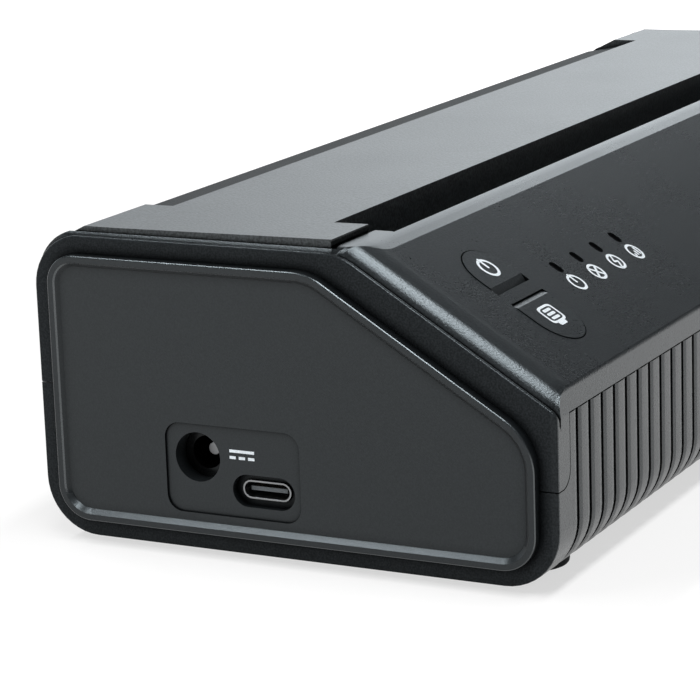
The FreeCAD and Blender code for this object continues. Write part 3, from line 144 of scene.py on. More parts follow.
def boxMask(graph, where, corners, soft):
    # one inside a box given by its two corners in metres, nought outside it, with a ramp of the soft width inside
    split = graph.add("ShaderNodeSeparateXYZ")
    graph.tree.links.new(where, split.inputs[0])
    inside = 1.0
    for axis, low, high in zip("XYZ", *corners):
        if soft:
            above = graph.span(split.outputs[axis], low, low + soft, 0.0, 1.0)
            under = graph.span(split.outputs[axis], high - soft, high, 1.0, 0.0)
        else:
            above = graph.math("GREATER_THAN", split.outputs[axis], low)
            under = graph.math("LESS_THAN", split.outputs[axis], high)
        inside = graph.math("MULTIPLY", graph.math("MULTIPLY", above, under), inside)
    return inside


def ribPaintedSheen(graph, where, ribs):
    # painted sheen: across each rib of the front the gloss grows, and its far edge gets a painted highlight in place of
    # the light a rounded rib edge catches
    split = graph.add("ShaderNodeSeparateXYZ")
    graph.tree.links.new(where, split.inputs[0])
    turns = graph.math("DIVIDE", graph.math("SUBTRACT", split.outputs["X"], ribs["first"]), ribs["pitch"])
    share = graph.math("FRACT", turns)
    body = graph.span(share, *ribs["bodySpan"], *ribs["body"])
    paintedGlint = graph.span(share, *ribs["edgeSpan"], 0.0, ribs["edge"])
    sheen = graph.math("ADD", body, paintedGlint)
    front = graph.math("LESS_THAN", split.outputs["Y"], ribs["face"])
    low = graph.math("LESS_THAN", split.outputs["Z"], ribs["top"])
    middle = graph.math("LESS_THAN", graph.math("ABSOLUTE", split.outputs["X"]), ribs["half"])
    inside = graph.math("MULTIPLY", graph.math("MULTIPLY", front, low), middle)
    node = graph.add("ShaderNodeMix", data_type="FLOAT")
    graph.tree.links.new(inside, node.inputs[0])
    node.inputs[2].default_value = 1.0
    graph.tree.links.new(sheen, node.inputs[3])
    return node.outputs[0]


def lipNormal(graph, where, normal, lip):
    # a flatter lip in front of the slot: its lower edge runs straight, then curves up towards the ends
    split = graph.add("ShaderNodeSeparateXYZ")
    graph.tree.links.new(where, split.inputs[0])
    past = graph.math("MAXIMUM", graph.math("SUBTRACT", graph.math("ABSOLUTE", split.outputs["X"]), lip["turn"]), 0.0)
    lower = graph.math("ADD", graph.math("MULTIPLY", graph.math("MULTIPLY", past, past), lip["curve"]), lip["start"])
    inside = graph.span(graph.math("SUBTRACT", split.outputs["Y"], lower), 0.0, lip["soft"], 0.0, lip["share"])
    inside = graph.math("MULTIPLY", inside, graph.math("LESS_THAN", split.outputs["Y"], lip["end"]))
    inside = graph.math("MULTIPLY", inside, graph.math("GREATER_THAN", split.outputs["Z"], lip["floor"]))
    mixed = graph.add("ShaderNodeMix", data_type="VECTOR")
    graph.tree.links.new(inside, mixed.inputs[0])
    graph.tree.links.new(normal, mixed.inputs[4])
    mixed.inputs[5].default_value = lip["lean"]
    unit = graph.add("ShaderNodeVectorMath", operation="NORMALIZE")
    graph.tree.links.new(mixed.outputs[1], unit.inputs[0])
    return unit.outputs[0]


# all the plastics: how far and how deep the painted shade in hollows reaches and darkens, and the tint of the sheen
plasticShade = {"reach": 0.002, "open": (0.45, 0.95), "dark": 0.12, "tint": (0.92, 0.98, 1.0)}


def mouldedPlastic(name, spec):
    # colour with a cloudy drift and polished edges, a fine spark grain in the bump, painted shade in hollows, and
    # painted highlight and shade in gloss boxes
    material = bpy.data.materials.new(name)
    material.use_nodes = True
    graph = Graph(material.node_tree)
    where = graph.add("ShaderNodeTexCoord").outputs["Object"]
    grain = graph.noise(where, spec["grain"], 1.0, 0.5)
    drift = graph.noise(where, spec["drift"], 4.0, 0.55)
    edge = edgeMask(graph, spec["edge"])[1]
    fleck = graph.span(grain, 0.35, 0.7, 1.0 - spec["fleck"], 1.0 + spec["fleck"])
    cloudy = graph.blend(drift, rgb(spec["colour"], 0.92), rgb(spec["colour"], 1.08))
    speck = graph.add("ShaderNodeMix", data_type="RGBA", blend_type="MULTIPLY")
    speck.inputs[0].default_value = 1.0
    graph.tree.links.new(cloudy, speck.inputs[6])
    graph.tree.links.new(fleck, speck.inputs[7])
    worn = graph.blend(graph.math("MULTIPLY", edge, spec["wear"]), speck.outputs[2], rgb(spec["worn"]))
    rough = graph.span(graph.math("ADD", drift, graph.math("MULTIPLY", grain, 0.6)), 0.5, 1.1,
                       spec["rough"] - spec["sway"], spec["rough"] + spec["sway"])
    bump = graph.put(graph.add("ShaderNodeBump"), Strength=spec["bump"], Distance=spec["depth"],
                     Height=grain)
    # painted shade: an occlusion node darkens corners and grooves in colour, and in gloss where patches are set
    hollow = graph.add("ShaderNodeAmbientOcclusion", samples=6)
    hollow.inputs["Distance"].default_value = plasticShade["reach"]
    paintedHollowShade = graph.span(hollow.outputs["AO"], *plasticShade["open"], plasticShade["dark"], 1.0)
    shaded = graph.add("ShaderNodeMix", data_type="RGBA", blend_type="MULTIPLY")
    shaded.inputs[0].default_value = 1.0
    graph.tree.links.new(worn, shaded.inputs[6])
    graph.tree.links.new(paintedHollowShade, shaded.inputs[7])
    normal, gloss = bump.outputs[0], spec["gloss"]
    if "patches" in spec:
        spark = spec["fleck"] / 3
        gloss = graph.span(grain, 0.3, 0.7, spec["gloss"] * (1 - spark), spec["gloss"] * (1 + spark))
        gloss = graph.math("MULTIPLY", gloss, paintedHollowShade)
    if "lip" in spec:
        normal = lipNormal(graph, where, normal, spec["lip"])
    if "ribs" in spec:
        gloss = graph.math("MULTIPLY", gloss, ribPaintedSheen(graph, where, spec["ribs"]))
    # painted highlight and shade: boxes that raise or lower the gloss, and add roughness, where the lamps alone give
    # the wrong sheen
    for corners, factor, extra, soft in spec.get("patches", ()):
        patch = boxMask(graph, where, corners, soft)
        gloss = graph.math("MULTIPLY", gloss, graph.span(patch, 0.0, 1.0, 1.0, factor))
        rough = graph.math("ADD", rough, graph.math("MULTIPLY", patch, extra))
    shader = graph.put(graph.add("ShaderNodeBsdfPrincipled"), Base_Color=shaded.outputs[2], Roughness=rough,
                       Normal=normal, IOR=spec["ior"], Specular_IOR_Level=gloss,
                       Specular_Tint=rgb(plasticShade["tint"]))
    out = graph.add("ShaderNodeOutputMaterial")
    graph.tree.links.new(shader.outputs[0], out.inputs[0])
    return material


def drawnMetal(name, spec):
    # brushed or rolled metal: streaks stretched along one axis drive roughness and bump
    material = bpy.data.materials.new(name)
    material.use_nodes = True
    graph = Graph(material.node_tree)
    where = graph.add("ShaderNodeTexCoord").outputs["Object"]
    stretch = graph.put(graph.add("ShaderNodeMapping"), Vector=where, Scale=spec["stretch"])
    streak = graph.noise(stretch.outputs[0], spec["streak"], 4.0, 0.6)
    stain = graph.noise(where, spec["stain"], 3.0)
    rounded, edge = edgeMask(graph, spec["edge"])
    tone = graph.blend(stain, rgb(spec["colour"], 0.88), rgb(spec["colour"], 1.06))
    worn = graph.blend(graph.math("MULTIPLY", edge, 0.5), tone, rgb(spec["colour"], 1.25))
    rough = graph.span(streak, 0.3, 0.7, spec["rough"] - spec["sway"], spec["rough"] + spec["sway"])
    bump = graph.put(graph.add("ShaderNodeBump"), Strength=spec["bump"], Distance=0.00005,
                     Height=streak, Normal=rounded)
    shader = graph.put(graph.add("ShaderNodeBsdfPrincipled"), Base_Color=worn, Metallic=spec["metal"],
                       Roughness=rough, Normal=bump.outputs[0])
    out = graph.add("ShaderNodeOutputMaterial")
    graph.tree.links.new(shader.outputs[0], out.inputs[0])
    return material


plasticSpecs = {
    "case_plastic": dict(colour=(0.0185, 0.0199, 0.0209), worn=(0.03, 0.031, 0.032), grain=3200, drift=45, edge=0.0002,
                         fleck=0.3, wear=0.2, rough=0.28, sway=0.015, bump=0.45, depth=0.00008, ior=1.5, gloss=0.48,
                         # painted sheen across the front ribs, with a painted highlight on each rib's far edge
                         ribs=dict(first=-0.1210015, pitch=0.005149, bodySpan=(0.1, 0.75), body=(0.58, 1.05),
                                   edgeSpan=(0.74, 0.80), edge=0.95, face=-0.0365, top=0.0288, half=0.1235),
                         # painted shade on the rear rail and the ring faces, painted sheen on the front faces, painted
                         # highlight on the slope ends
                         patches=((((-0.1066, 0.0331, 0.040), (0.1066, 0.050, 0.060)), 0.12, 0.25, 0.0),
                                  (((-0.1292, -0.06, 0.0), (-0.12885, 0.06, 0.06)), 0.15, 0.1, 0.0),
                                  (((0.12885, -0.06, 0.0), (0.1292, 0.06, 0.06)), 0.15, 0.1, 0.0),
                                  (((-0.13, -0.0475, 0.0), (0.13, -0.0458, 0.0335)), 1.75, 0.0, 0.0),
                                  (((-0.1287, -0.0458, 0.030), (-0.1207, -0.0105, 0.0555)), 2.1, 0.06, 0.0018),
                                  (((0.1207, -0.0458, 0.030), (0.1287, -0.0105, 0.0555)), 2.1, 0.06, 0.0018)),
                         lip=dict(turn=0.119, curve=80.0, start=-0.0150, end=-0.0080, floor=0.0505,
                                  lean=(0.0, -0.11, 0.994), share=0.85, soft=0.0002)),
    "panel_plastic": dict(colour=(0.0130, 0.0143, 0.0153), worn=(0.03, 0.031, 0.032), grain=3600, drift=30, edge=0.0002,
                          fleck=0.12, wear=0.3, rough=0.33, sway=0.02, bump=0.25, depth=0.00006, ior=1.5, gloss=0.36,
                          # painted highlight along the bottom bevels and the outer rims of the end panels
                          patches=((((-0.13097, -0.06, 0.0), (-0.13022, 0.06, 0.0085)), 2.6, 0.0, 0.0),
                                   (((0.13022, -0.06, 0.0), (0.13097, 0.06, 0.0085)), 2.6, 0.0, 0.0),
                                   (((-0.13097, -0.06, 0.0085), (-0.13072, 0.06, 0.06)), 3.5, -0.05, 0.0),
                                   (((0.13072, -0.06, 0.0085), (0.13097, 0.06, 0.06)), 3.5, -0.05, 0.0))),
    "lid_plastic": dict(colour=(0.0220, 0.0238, 0.0250), worn=(0.03, 0.031, 0.032), grain=2300, drift=38, edge=0.0002,
                        fleck=0.60, wear=0.2, rough=0.32, sway=0.012, bump=0.4, depth=0.00010, ior=1.5, gloss=0.56,
                        # painted shade along the lid's front strip by the slot
                        patches=((((-0.13, -0.0090, 0.040), (0.13, -0.00765, 0.0539)), 0.12, 0.2, 0.0),)),
    "button_plastic": dict(colour=(0.0195, 0.0212, 0.0224), worn=(0.04, 0.041, 0.042), grain=2600, drift=120,
                           edge=0.0002, fleck=0.60, wear=0.3, rough=0.30, sway=0.04, bump=0.3,
                           depth=0.00010, ior=1.5, gloss=0.6),
    "inner_plastic": dict(colour=(0.028, 0.029, 0.030), worn=(0.02, 0.02, 0.021), grain=1900, drift=60, edge=0.0002,
                          fleck=0.25, wear=0.3, rough=0.55, sway=0.06, bump=0.4, depth=0.0001, ior=1.5, gloss=0.4),
    "smoked_plastic": dict(colour=(0.002, 0.002, 0.0022), worn=(0.01, 0.01, 0.01), grain=4000, drift=400, edge=0.0001,
                           fleck=0.1, wear=0.2, rough=0.2, sway=0.04, bump=0.05, depth=0.00003, ior=1.5, gloss=0.2),
    "foot_rubber": dict(colour=(0.008, 0.008, 0.0085), worn=(0.02, 0.02, 0.02), grain=1500, drift=150, edge=0.0003,
                        fleck=0.3, wear=0.4, rough=0.8, sway=0.06, bump=0.5, depth=0.0001, ior=1.5, gloss=0.25),
    "platen_rubber": dict(colour=(0.03, 0.03, 0.031), worn=(0.06, 0.06, 0.06), grain=3000, drift=70, edge=0.0003,
                          fleck=0.2, wear=0.4, rough=0.68, sway=0.06, bump=0.4, depth=0.00006, ior=1.5, gloss=0.3),
    "bush_plastic": dict(colour=(0.55, 0.52, 0.45), worn=(0.7, 0.68, 0.62), grain=2200, drift=120, edge=0.0002,
                         fleck=0.06, wear=0.4, rough=0.42, sway=0.05, bump=0.15, depth=0.00005, ior=1.48, gloss=0.5),
    "gear_plastic": dict(colour=(0.72, 0.70, 0.64), worn=(0.85, 0.84, 0.8), grain=2500, drift=150, edge=0.00015,
                         fleck=0.05, wear=0.4, rough=0.36, sway=0.05, bump=0.12, depth=0.00004, ior=1.48, gloss=0.5),
    "lamp_plastic": dict(colour=(0.8, 0.79, 0.72), worn=(0.9, 0.9, 0.88), grain=5000, drift=600, edge=0.0001,
                         fleck=0.04, wear=0.3, rough=0.3, sway=0.05, bump=0.1, depth=0.00003, ior=1.5, gloss=0.5),
    "cell_sleeve": dict(colour=(0.010, 0.016, 0.022), worn=(0.05, 0.06, 0.07), grain=900, drift=60, edge=0.0004,
                        fleck=0.05, wear=0.4, rough=0.3, sway=0.06, bump=0.1, depth=0.00008, ior=1.5, gloss=0.5),
    "board_laminate": dict(colour=(0.006, 0.030, 0.016), worn=(0.06, 0.07, 0.04), grain=1600, drift=90, edge=0.0001,
                           fleck=0.12, wear=0.5, rough=0.34, sway=0.06, bump=0.2, depth=0.00004, ior=1.5, gloss=0.5),
    "head_ceramic": dict(colour=(0.62, 0.58, 0.48), worn=(0.8, 0.78, 0.7), grain=3000, drift=40, edge=0.0001,
                         fleck=0.05, wear=0.3, rough=0.28, sway=0.05, bump=0.08, depth=0.00004, ior=1.6, gloss=0.5),
    "printWhite": dict(colour=(0.93, 0.94, 0.95), worn=(0.95, 0.95, 0.95), grain=3400, drift=500, edge=0.00005,
                       fleck=0.06, wear=0.1, rough=0.55, sway=0.05, bump=0.15, depth=0.00004, ior=1.5, gloss=0.4),
    "tongueGrey": dict(colour=(0.16, 0.165, 0.17), worn=(0.25, 0.25, 0.25), grain=4200, drift=400, edge=0.00008,
                       fleck=0.08, wear=0.3, rough=0.4, sway=0.05, bump=0.12, depth=0.00003, ior=1.5, gloss=0.5),
    "glazeBrown": dict(colour=(0.05, 0.03, 0.02), worn=(0.12, 0.08, 0.05), grain=5200, drift=300, edge=0.00005,
                       fleck=0.15, wear=0.3, rough=0.12, sway=0.03, bump=0.05, depth=0.00002, ior=1.6, gloss=0.6),
}
metalSpecs = {
    "bright_steel": dict(colour=(0.56, 0.56, 0.56), stretch=(0.04, 1.0, 1.0), streak=5000, stain=80, edge=0.0001,
                         rough=0.26, sway=0.08, bump=0.2, metal=1.0),
    "socketSteel": dict(colour=(0.26, 0.265, 0.27), stretch=(0.05, 1.0, 1.0), streak=5000, stain=200, edge=0.0001,
                        rough=0.34, sway=0.06, bump=0.15, metal=1.0),
    "dark_steel": dict(colour=(0.03, 0.03, 0.032), stretch=(1.0, 1.0, 1.0), streak=2500, stain=300, edge=0.0002,
                       rough=0.42, sway=0.08, bump=0.2, metal=0.9),
    "sheet_steel": dict(colour=(0.5, 0.51, 0.52), stretch=(1.0, 0.05, 1.0), streak=2600, stain=60, edge=0.0002,
                        rough=0.36, sway=0.1, bump=0.25, metal=1.0),
    "sink_aluminium": dict(colour=(0.7, 0.7, 0.71), stretch=(0.03, 1.0, 1.0), streak=2200, stain=50, edge=0.0002,
                           rough=0.38, sway=0.1, bump=0.3, metal=1.0),
    "pinion_brass": dict(colour=(0.7, 0.52, 0.24), stretch=(0.1, 1.0, 1.0), streak=4000, stain=300, edge=0.0001,
                         rough=0.3, sway=0.08, bump=0.2, metal=1.0),
}
finishes = {name: mouldedPlastic(name, spec) for name, spec in plasticSpecs.items()}
finishes.update({name: drawnMetal(name, spec) for name, spec in metalSpecs.items()})
nodeFinish = {
    "usb_tongue": "tongueGrey",
    "usb_shell": "socketSteel",
    "dc_pin": "socketSteel",
    "dc_jack": "smoked_plastic",
}
for entry in frame["record"]["subparts"]:
    holder = nodes[entry["node"]].data.materials
    holder.clear()
    holder.append(finishes[nodeFinish.get(entry["node"], entry["material_slot"])])

# floor and studio light
studio = {
    "floor": 6.0,
    "level": -0.00005,
    "rise": (0.0, 0.08),
    "fall": (0.34, 0.44),
    "sideUp": (0.04, 0.20),
    "sideDown": (0.34, 0.56),
    "sideFar": 0.35,
    "floorTone": 0.80,
    "seenTone": 0.40,
    "band": 2.5,
    "tint": (0.89, 0.955, 1.0),
    "dark": 0.08,
    "fade": (0.17, 0.42),
    "lift": 0.64,
    "horizon": (0.11, 0.13),
    "lamps": {
        "frontStrip": dict(place=(-0.45, -0.30, 1.2), aim=(-0.45, -0.05, 0.0), size=(1.4, 0.20), power=14.0),
        "rearStrip": dict(place=(-0.45, 0.62, 1.2), aim=(-0.45, 0.0, 0.03), size=(1.4, 0.10), power=8.0),
    },
}


def backdropRay(graph):
    # one for rays that show the white background: the camera's own, and those off metal or through glass
    path = graph.add("ShaderNodeLightPath").outputs
    mirrored = graph.math("MAXIMUM", path["Is Glossy Ray"], path["Is Transmission Ray"])
    return graph.math("MAXIMUM", path["Is Camera Ray"], mirrored)


def layFloor(spec):
    half, low = spec["floor"], spec["level"]
    corners = np.array([(-half, -half, low), (half, -half, low), (half, half, low), (-half, half, low)], float)
    mesh = bpy.data.meshes.new("studioFloor")
    mesh.from_pydata(corners.tolist(), [], [(0, 1, 2, 3)])
    floor = bpy.data.objects.new("studioFloor", mesh)
    scene.collection.objects.link(floor)
    material = bpy.data.materials.new("paperSweep")
    material.use_nodes = True
    graph = Graph(material.node_tree)
    tone = spec["floorTone"]
    seen = backdropRay(graph)
    # the camera sees the sheet neutral under the cool lamps
    neutral = [spec["seenTone"] * min(spec["tint"]) / channel for channel in spec["tint"]]
    paper = graph.blend(seen, (tone, tone, tone, 1), (*neutral, 1))
    shade = graph.put(graph.add("ShaderNodeBsdfDiffuse"), Color=paper)
    # far from the printer the sheet runs into the white background, for the camera only
    far = graph.add("ShaderNodeVectorMath", operation="LENGTH")
    graph.tree.links.new(graph.add("ShaderNodeTexCoord").outputs["Object"], far.inputs[0])
    away = graph.span(far.outputs["Value"], *spec["fade"], spec["lift"], 1.0)
    white = graph.put(graph.add("ShaderNodeEmission"), Strength=graph.math("MULTIPLY", away, seen))
    mixed = graph.add("ShaderNodeAddShader")
    graph.tree.links.new(shade.outputs[0], mixed.inputs[0])
    graph.tree.links.new(white.outputs[0], mixed.inputs[1])
    out = graph.add("ShaderNodeOutputMaterial")
    graph.tree.links.new(mixed.outputs[0], out.inputs[0])
    mesh.materials.append(material)


def lightSky(spec):
    world = bpy.data.worlds.new("studioSky")
    scene.world = world
    world.use_nodes = True
    graph = Graph(world.node_tree)
    where = graph.add("ShaderNodeTexCoord").outputs["Generated"]
    height = graph.add("ShaderNodeSeparateXYZ")
    graph.tree.links.new(where, height.inputs[0])
    # a bright band low down behind the far end, dark above it and on the other sides
    rise = graph.span(height.outputs["Z"], *spec["rise"], 0.0, 1.0)
    fall = graph.span(height.outputs["Z"], *spec["fall"], 1.0, 0.0)
    side = graph.math("MULTIPLY", graph.span(height.outputs["Y"], *spec["sideUp"], 0.0, 1.0),
                      graph.span(height.outputs["Y"], *spec["sideDown"], 1.0, spec["sideFar"]))
    band = graph.math("MULTIPLY", graph.math("MULTIPLY", rise, fall), graph.math("MULTIPLY", side, spec["band"]))
    tone = graph.math("ADD", band, spec["dark"])
    # the white background lies along the horizon, below the studio's own light
    lowDown = graph.span(height.outputs["Z"], *spec["horizon"], 1.0, 0.0)
    seen = graph.math("MULTIPLY", backdropRay(graph), lowDown)
    level = graph.add("ShaderNodeMix", data_type="FLOAT")
    graph.tree.links.new(seen, level.inputs[0])
    graph.tree.links.new(tone, level.inputs[2])
    level.inputs[3].default_value = 1.0
    cool = graph.blend(seen, (*spec["tint"], 1.0), (1.0, 1.0, 1.0, 1.0))
    sky = graph.put(graph.add("ShaderNodeBackground"), Strength=level.outputs[0], Color=cool)
    out = graph.add("ShaderNodeOutputWorld")
    graph.tree.links.new(sky.outputs[0], out.inputs[0])


def hangLamps(spec):
    for name, lamp in spec["lamps"].items():
        data = bpy.data.lights.new(name, "AREA")
        data.shape = "RECTANGLE"
        data.size, data.size_y = lamp["size"]
        data.energy = lamp["power"]
        data.color = spec["tint"]
        light = bpy.data.objects.new(name, data)
        light.location = lamp["place"]
        toward = Vector(lamp["aim"]) - Vector(lamp["place"])
        light.rotation_euler = toward.to_track_quat("-Z", "Y").to_euler()
        scene.collection.objects.link(light)


layFloor(studio)
lightSky(studio)
hangLamps(studio)
scene.view_settings.view_transform = "Standard"
print("stage: studio lit")

# new pieces, each a grid of points from a formula
def grid(formula, across, along):
    # a surface from two parameters that run from nought to one
    u, v = np.meshgrid(np.linspace(0, 1, across), np.linspace(0, 1, along), indexing="ij")
    points = np.stack(np.broadcast_arrays(*formula(u, v)), axis=-1).reshape(-1, 3)
    first = (np.arange(across - 1)[:, None] * along + np.arange(along - 1)[None, :]).ravel()
    quads = np.stack([first, first + along, first + along + 1, first + 1], axis=1)
    return points, quads


seamGap = {"merge": 1e-7, "sliver": 1e-8}


def closeSeams(mesh):
    # the first and last rows of a swept grid become one row, and the points of a pole one point
    shell = bmesh.new()
    shell.from_mesh(mesh)
    bmesh.ops.remove_doubles(shell, verts=shell.verts, dist=seamGap["merge"])
    bmesh.ops.dissolve_degenerate(shell, edges=shell.edges, dist=seamGap["sliver"])
    shell.to_mesh(mesh)
    shell.free()


def makePiece(name, grids, finish, body, smooth=True):
    starts = np.cumsum([0] + [len(points) for points, quads in grids[:-1]])
    points = np.concatenate([points for points, quads in grids])
    quads = np.concatenate([faces + start for (spots, faces), start in zip(grids, starts)])
    mesh = bpy.data.meshes.new(name)
    mesh.vertices.add(len(points))
    mesh.vertices.foreach_set("co", points.astype(np.float32).ravel())
    mesh.loops.add(quads.size)
    mesh.loops.foreach_set("vertex_index", quads.astype(np.int32).ravel())
    mesh.polygons.add(len(quads))
    mesh.polygons.foreach_set("loop_start", np.arange(0, quads.size, 4, dtype=np.int32))
    mesh.polygons.foreach_set("use_smooth", np.full(len(quads), smooth))
    mesh.update(calc_edges=True)
    mesh.validate()
    closeSeams(mesh)
    mesh.materials.append(finishes[finish])
    piece = bpy.data.objects.new(name, mesh)
    scene.collection.objects.link(piece)
    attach(piece, body)
    return piece


# the control slope: x along the printer, v up the slope, w out of it, in millimetres
slopeTurn = math.radians(31.8)
slopeFoot = (-46.1, 32.448)


def onSlope(x, v, w):
    y = slopeFoot[0] + v * math.cos(slopeTurn) - w * math.sin(slopeTurn)
    z = slopeFoot[1] + v * math.sin(slopeTurn) + w * math.cos(slopeTurn)
    return x / 1000, y / 1000, z / 1000


def slopeRing(x, v, w, outer, inner):
    # an annulus: angle by radius
    def formula(a, b):
        angle, radius = 2 * np.pi * a, inner + (outer - inner) * b
        return onSlope(x - radius * np.cos(angle), v + radius * np.sin(angle), w + 0 * a)
    return grid(formula, 49, 3)


def slopeBar(x, v, w, start, end, width):
    # a strip with rounded ends between two points given from the sign's middle
    start, end = np.array(start, float), np.array(end, float)
    length = np.linalg.norm(end - start)
    ahead = (end - start) / length
    side = np.array([-ahead[1], ahead[0]])

    def formula(a, b):
        run = (length + width) * a - width / 2
        over = np.maximum(np.maximum(-run, run - length), 0)
        half = np.sqrt(np.maximum((width / 2) ** 2 - over ** 2, 0))
        offset = half * (2 * b - 1)
        px = start[0] + ahead[0] * run + side[0] * offset
        pv = start[1] + ahead[1] * run + side[1] * offset
        return onSlope(x + px, v + pv, w + 0 * a)
    points, quads = grid(formula, 29, 3)
    return points, quads[:, ::-1]


def slopeFrame(x, v, w, half, corner, width):
    # a rounded rectangle line: a superellipse-like outline swept round, outer edge to inner edge
    def formula(a, b):
        angle = 2 * np.pi * a
        c, s = np.cos(angle), np.sin(angle)
        shape = (np.abs(c) ** corner + np.abs(s) ** corner) ** (-1 / corner)
        inset = width * (1 - b)
        return onSlope(x - (half[0] - inset) * c * shape, v + (half[1] - inset) * s * shape, w + 0 * a)
    return grid(formula, 97, 3)


signs = {
    "lift": 0.03,
    "keyRise": 0.1,
    "power": dict(x=-103.6, v=25.65, outer=2.25, inner=1.65, bar=((0, 0.1), (0, 2.2)), width=0.62),
    "battery": dict(x=-103.7, v=12.7, half=(2.55, 2.1), corner=5.0, width=0.5),
    "status": dict(x=-86.7, pitch=8.71, v=15.65, outer=2.05, inner=1.5, width=0.55),
}


def printPower(spec, lift):
    x, v = spec["x"], spec["v"]
    makePiece("powerSign", [
        slopeRing(x, v, lift, spec["outer"], spec["inner"]),
        slopeBar(x, v, lift + 0.01, *spec["bar"], spec["width"]),
    ], "printWhite", "power_button", False)


def printBattery(spec, lift):
    x, v = spec["x"], spec["v"]
    rows = [slopeBar(x, v, lift, (-1.1, step), (1.1, step), 0.62) for step in (0.95, 0.0, -0.95)]
    rows.append(slopeBar(x, v, lift + 0.01, (-0.8, -2.35), (0.8, -2.35), 1.0))
    makePiece("batterySign", [slopeFrame(x, v, lift, spec["half"], spec["corner"], spec["width"])] + rows,
              "printWhite", "battery_button", False)


def printStatus(spec, lift):
    x = [spec["x"] + spec["pitch"] * k for k in range(4)]
    v, outer, inner, width = spec["v"], spec["outer"], spec["inner"], spec["width"]
    strips = [slopeRing(each, v, lift, outer, inner) for each in x]
    strips.append(slopeBar(x[0], v, lift + 0.01, (0, 0.1), (0, 2.0), width))
    strips += [slopeBar(x[1], v, lift + 0.01 + 0.01 * k, (-1.2, -1.2 + 2.4 * k), (1.2, 1.2 - 2.4 * k), width)
               for k in range(2)]
    bolt = ((0.5, 1.6), (-0.55, 0.1), (0.55, -0.1), (-0.5, -1.6))
    strips += [slopeBar(x[2], v, lift + 0.01 + 0.01 * k, bolt[k], bolt[k + 1], width * 0.9) for k in range(3)]
    strips += [slopeBar(x[3], v, lift + 0.01, (-0.85 + 0.85 * k, -0.75), (-0.85 + 0.85 * k, -0.75 + 0.75 * k), width)
               for k in range(1, 3)]
    strips.append(slopeBar(x[3], v, lift + 0.01, (-0.85, -0.8), (-0.85, -0.6), width))
    makePiece("statusSigns", strips, "printWhite", "case", False)


printPower(signs["power"], signs["keyRise"] + signs["lift"])
printBattery(signs["battery"], signs["keyRise"] + signs["lift"])
printStatus(signs["status"], signs["lift"])

# direct-current sign on the port recess: a line above three dashes
currentSign = {"face": -129.75, "lift": 0.03, "y": 8.4, "z": 18.1, "half": 2.3, "gap": 0.55, "width": 0.5}


def panelBar(spec, yStart, yEnd, z):
    def formula(a, b):
        y = yStart + (yEnd - yStart) * a
        return (spec["face"] - spec["lift"] + 0 * a) / 1000, y / 1000, (z + spec["width"] * (b - 0.5)) / 1000
    points, quads = grid(formula, 3, 2)
    return points, quads[:, ::-1]


def printCurrent(spec):
    y, z, half = spec["y"], spec["z"], spec["half"]
    dash = (2 * half - 2 * spec["gap"]) / 3
    bars = [panelBar(spec, y - half, y + half, z + 0.55)]
    for k in range(3):
        start = y - half + k * (dash + spec["gap"])
        bars.append(panelBar(spec, start, start + dash, z - 0.55))
    makePiece("currentSign", bars, "printWhite", "case", False)


printCurrent(currentSign)
print("stage: signs printed")

# turned pieces: a profile of radius and height in millimetres, swept round an upright axis
def lathe(spot, profile, across, along, sink=None):
    profile = np.array(profile, float)
    steps = np.concatenate([[0], np.cumsum(np.linalg.norm(np.diff(profile, axis=0), axis=1))])

    def formula(u, v):
        run = u * steps[-1]
        radius, height = np.interp(run, steps, profile[:, 0]), np.interp(run, steps, profile[:, 1])
        x, y = radius * np.cos(2 * np.pi * v), radius * np.sin(2 * np.pi * v)
        if sink:
            height = height + sink(x, y, height)
        return (spot[0] + x) / 1000, (spot[1] + y) / 1000, height / 1000
    return grid(formula, across, along)


# rubber feet: a rounded rim and a shallow ring in the face that stands on the table
footSpec = {
    "across": 113.0,
    "deep": 35.4,
    "profile": ((0, 1.8), (5.98, 1.8), (6.0, 1.75), (6.0, 0.8), (5.93, 0.45), (5.72, 0.2), (5.4, 0.05), (5.0, 0.0),
                (4.3, 0.0), (4.15, 0.06), (3.9, 0.3), (3.4, 0.3), (3.15, 0.06), (3.0, 0.0), (0, 0.0)),
}


def standFeet(spec):
    spots = [(x, y) for x in (-spec["across"], spec["across"]) for y in (-spec["deep"], spec["deep"])]
    feet = makePiece("footPads", [lathe(spot, spec["profile"], 90, 65) for spot in spots], "foot_rubber", "case")
    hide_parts("rubber_feet")


standFeet(footSpec)

# case screws: pan heads with a cross recess, seen in the sinks of the bottom
screwSpec = {
    "across": 122.4,
    "deep": 36.0,
    "shank": ((0, 24.0), (1.0, 24.0), (1.25, 23.6), (1.25, 3.1), (2.45, 3.1)),
    "head": ((2.45, 3.1), (2.5, 3.05), (2.5, 2.1), (2.42, 1.8), (2.2, 1.58), (1.95, 1.5), (0, 1.5)),
    "arm": (1.35, 0.34),
    "wall": (0.25, 0.1),
    "face": 1.55,
    "recess": 0.9,
}


def driveScrews(spec):
    long, thin = spec["arm"]
    end, flank = spec["wall"]

    def cross(x, y, height):
        # deep where either arm of the cross lies, with a short sloping wall
        first = np.clip((long - np.abs(x)) / end, 0, 1) * np.clip((thin - np.abs(y)) / flank, 0, 1)
        second = np.clip((long - np.abs(y)) / end, 0, 1) * np.clip((thin - np.abs(x)) / flank, 0, 1)
        return np.where(height < spec["face"], spec["recess"] * np.maximum(first, second), 0)

    spots = [(x, y) for x in (-spec["across"], spec["across"]) for y in (-spec["deep"], spec["deep"])]
    turned = [lathe(spot, spec["shank"], 60, 97) for spot in spots]
    turned += [lathe(spot, spec["head"], 80, 97, cross) for spot in spots]
    screws = makePiece("crossScrews", turned, "dark_steel", "case", False)
    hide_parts("case_screws")


driveScrews(screwSpec)


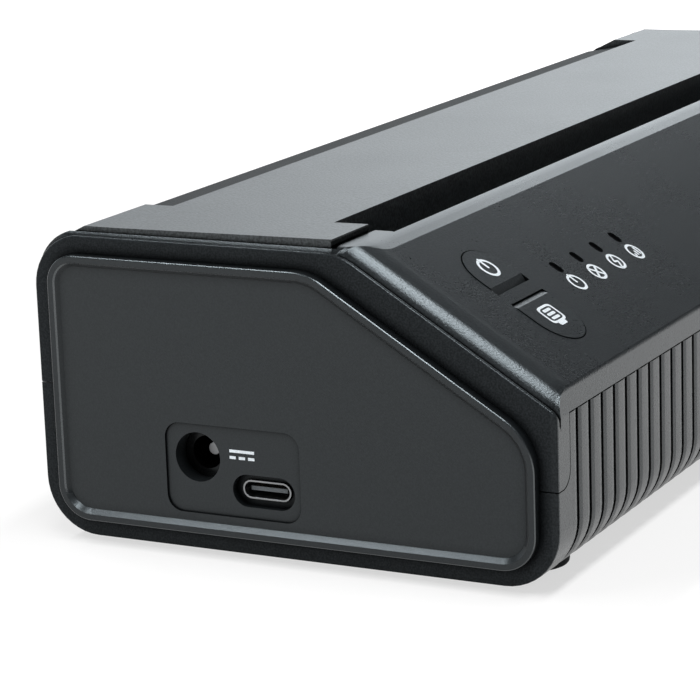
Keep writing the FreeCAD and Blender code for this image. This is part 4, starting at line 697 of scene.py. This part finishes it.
# a low bead from start to end along one axis: its height falls off towards both long edges
def bead(start, end, width, rise, flip=False):
    (x0, y0, z), (x1, y1, z1) = start, end
    run = np.array([x1 - x0, y1 - y0]) / math.hypot(x1 - x0, y1 - y0)

    def formula(a, b):
        offset = width * (b - 0.5)
        x = x0 + (x1 - x0) * a - run[1] * offset
        y = y0 + (y1 - y0) * a + run[0] * offset
        return x / 1000, y / 1000, (z + rise * (1 - np.abs(2 * b - 1) ** 4)) / 1000
    points, quads = grid(formula, 25, 9)
    return (points, quads[:, ::-1]) if flip else (points, quads)


# socket contacts: two rows of twelve strips on the tongue
contactSpec = {
    "count": 12,
    "y": 4.6,
    "pitch": 0.5,
    "width": 0.26,
    "front": -127.55,
    "back": -123.4,
    "faces": ((12.5, 0.02), (11.8, -0.02)),
}


def plateContacts(spec):
    rows = [spec["y"] + (k - (spec["count"] - 1) / 2) * spec["pitch"] for k in range(spec["count"])]
    strips = [bead((spec["front"], y, z), (spec["back"], y, z), spec["width"], rise, rise < 0)
              for z, rise in spec["faces"] for y in rows]
    makePiece("socketContacts", strips, "pinion_brass", "case")


plateContacts(contactSpec)

# print head: the glazed heater line under the platen and the fine leads that run back from it
headSpec = {
    "top": 40.5,
    "line": 5.0,
    "half": 104.0,
    "width": 1.3,
    "rise": 0.08,
    "leads": 80,
    "leadInset": 2,
    "leadGap": 0.7,
    "leadEnd": 13.5,
    "leadWidth": 0.9,
    "leadRise": 0.03,
}


def layHeater(spec):
    top = spec["top"]
    line = [bead((-spec["half"], spec["line"], top), (spec["half"], spec["line"], top), spec["width"], spec["rise"])]
    makePiece("heaterLine", line, "glazeBrown", "head")
    places = np.linspace(-spec["half"] + spec["leadInset"], spec["half"] - spec["leadInset"], spec["leads"])
    start = spec["line"] + spec["width"] * spec["leadGap"]
    leads = [bead((x, start, top), (x, spec["leadEnd"], top), spec["leadWidth"], spec["leadRise"]) for x in places]
    makePiece("headLeads", leads, "pinion_brass", "head")


layHeater(headSpec)
print("stage: small pieces made")
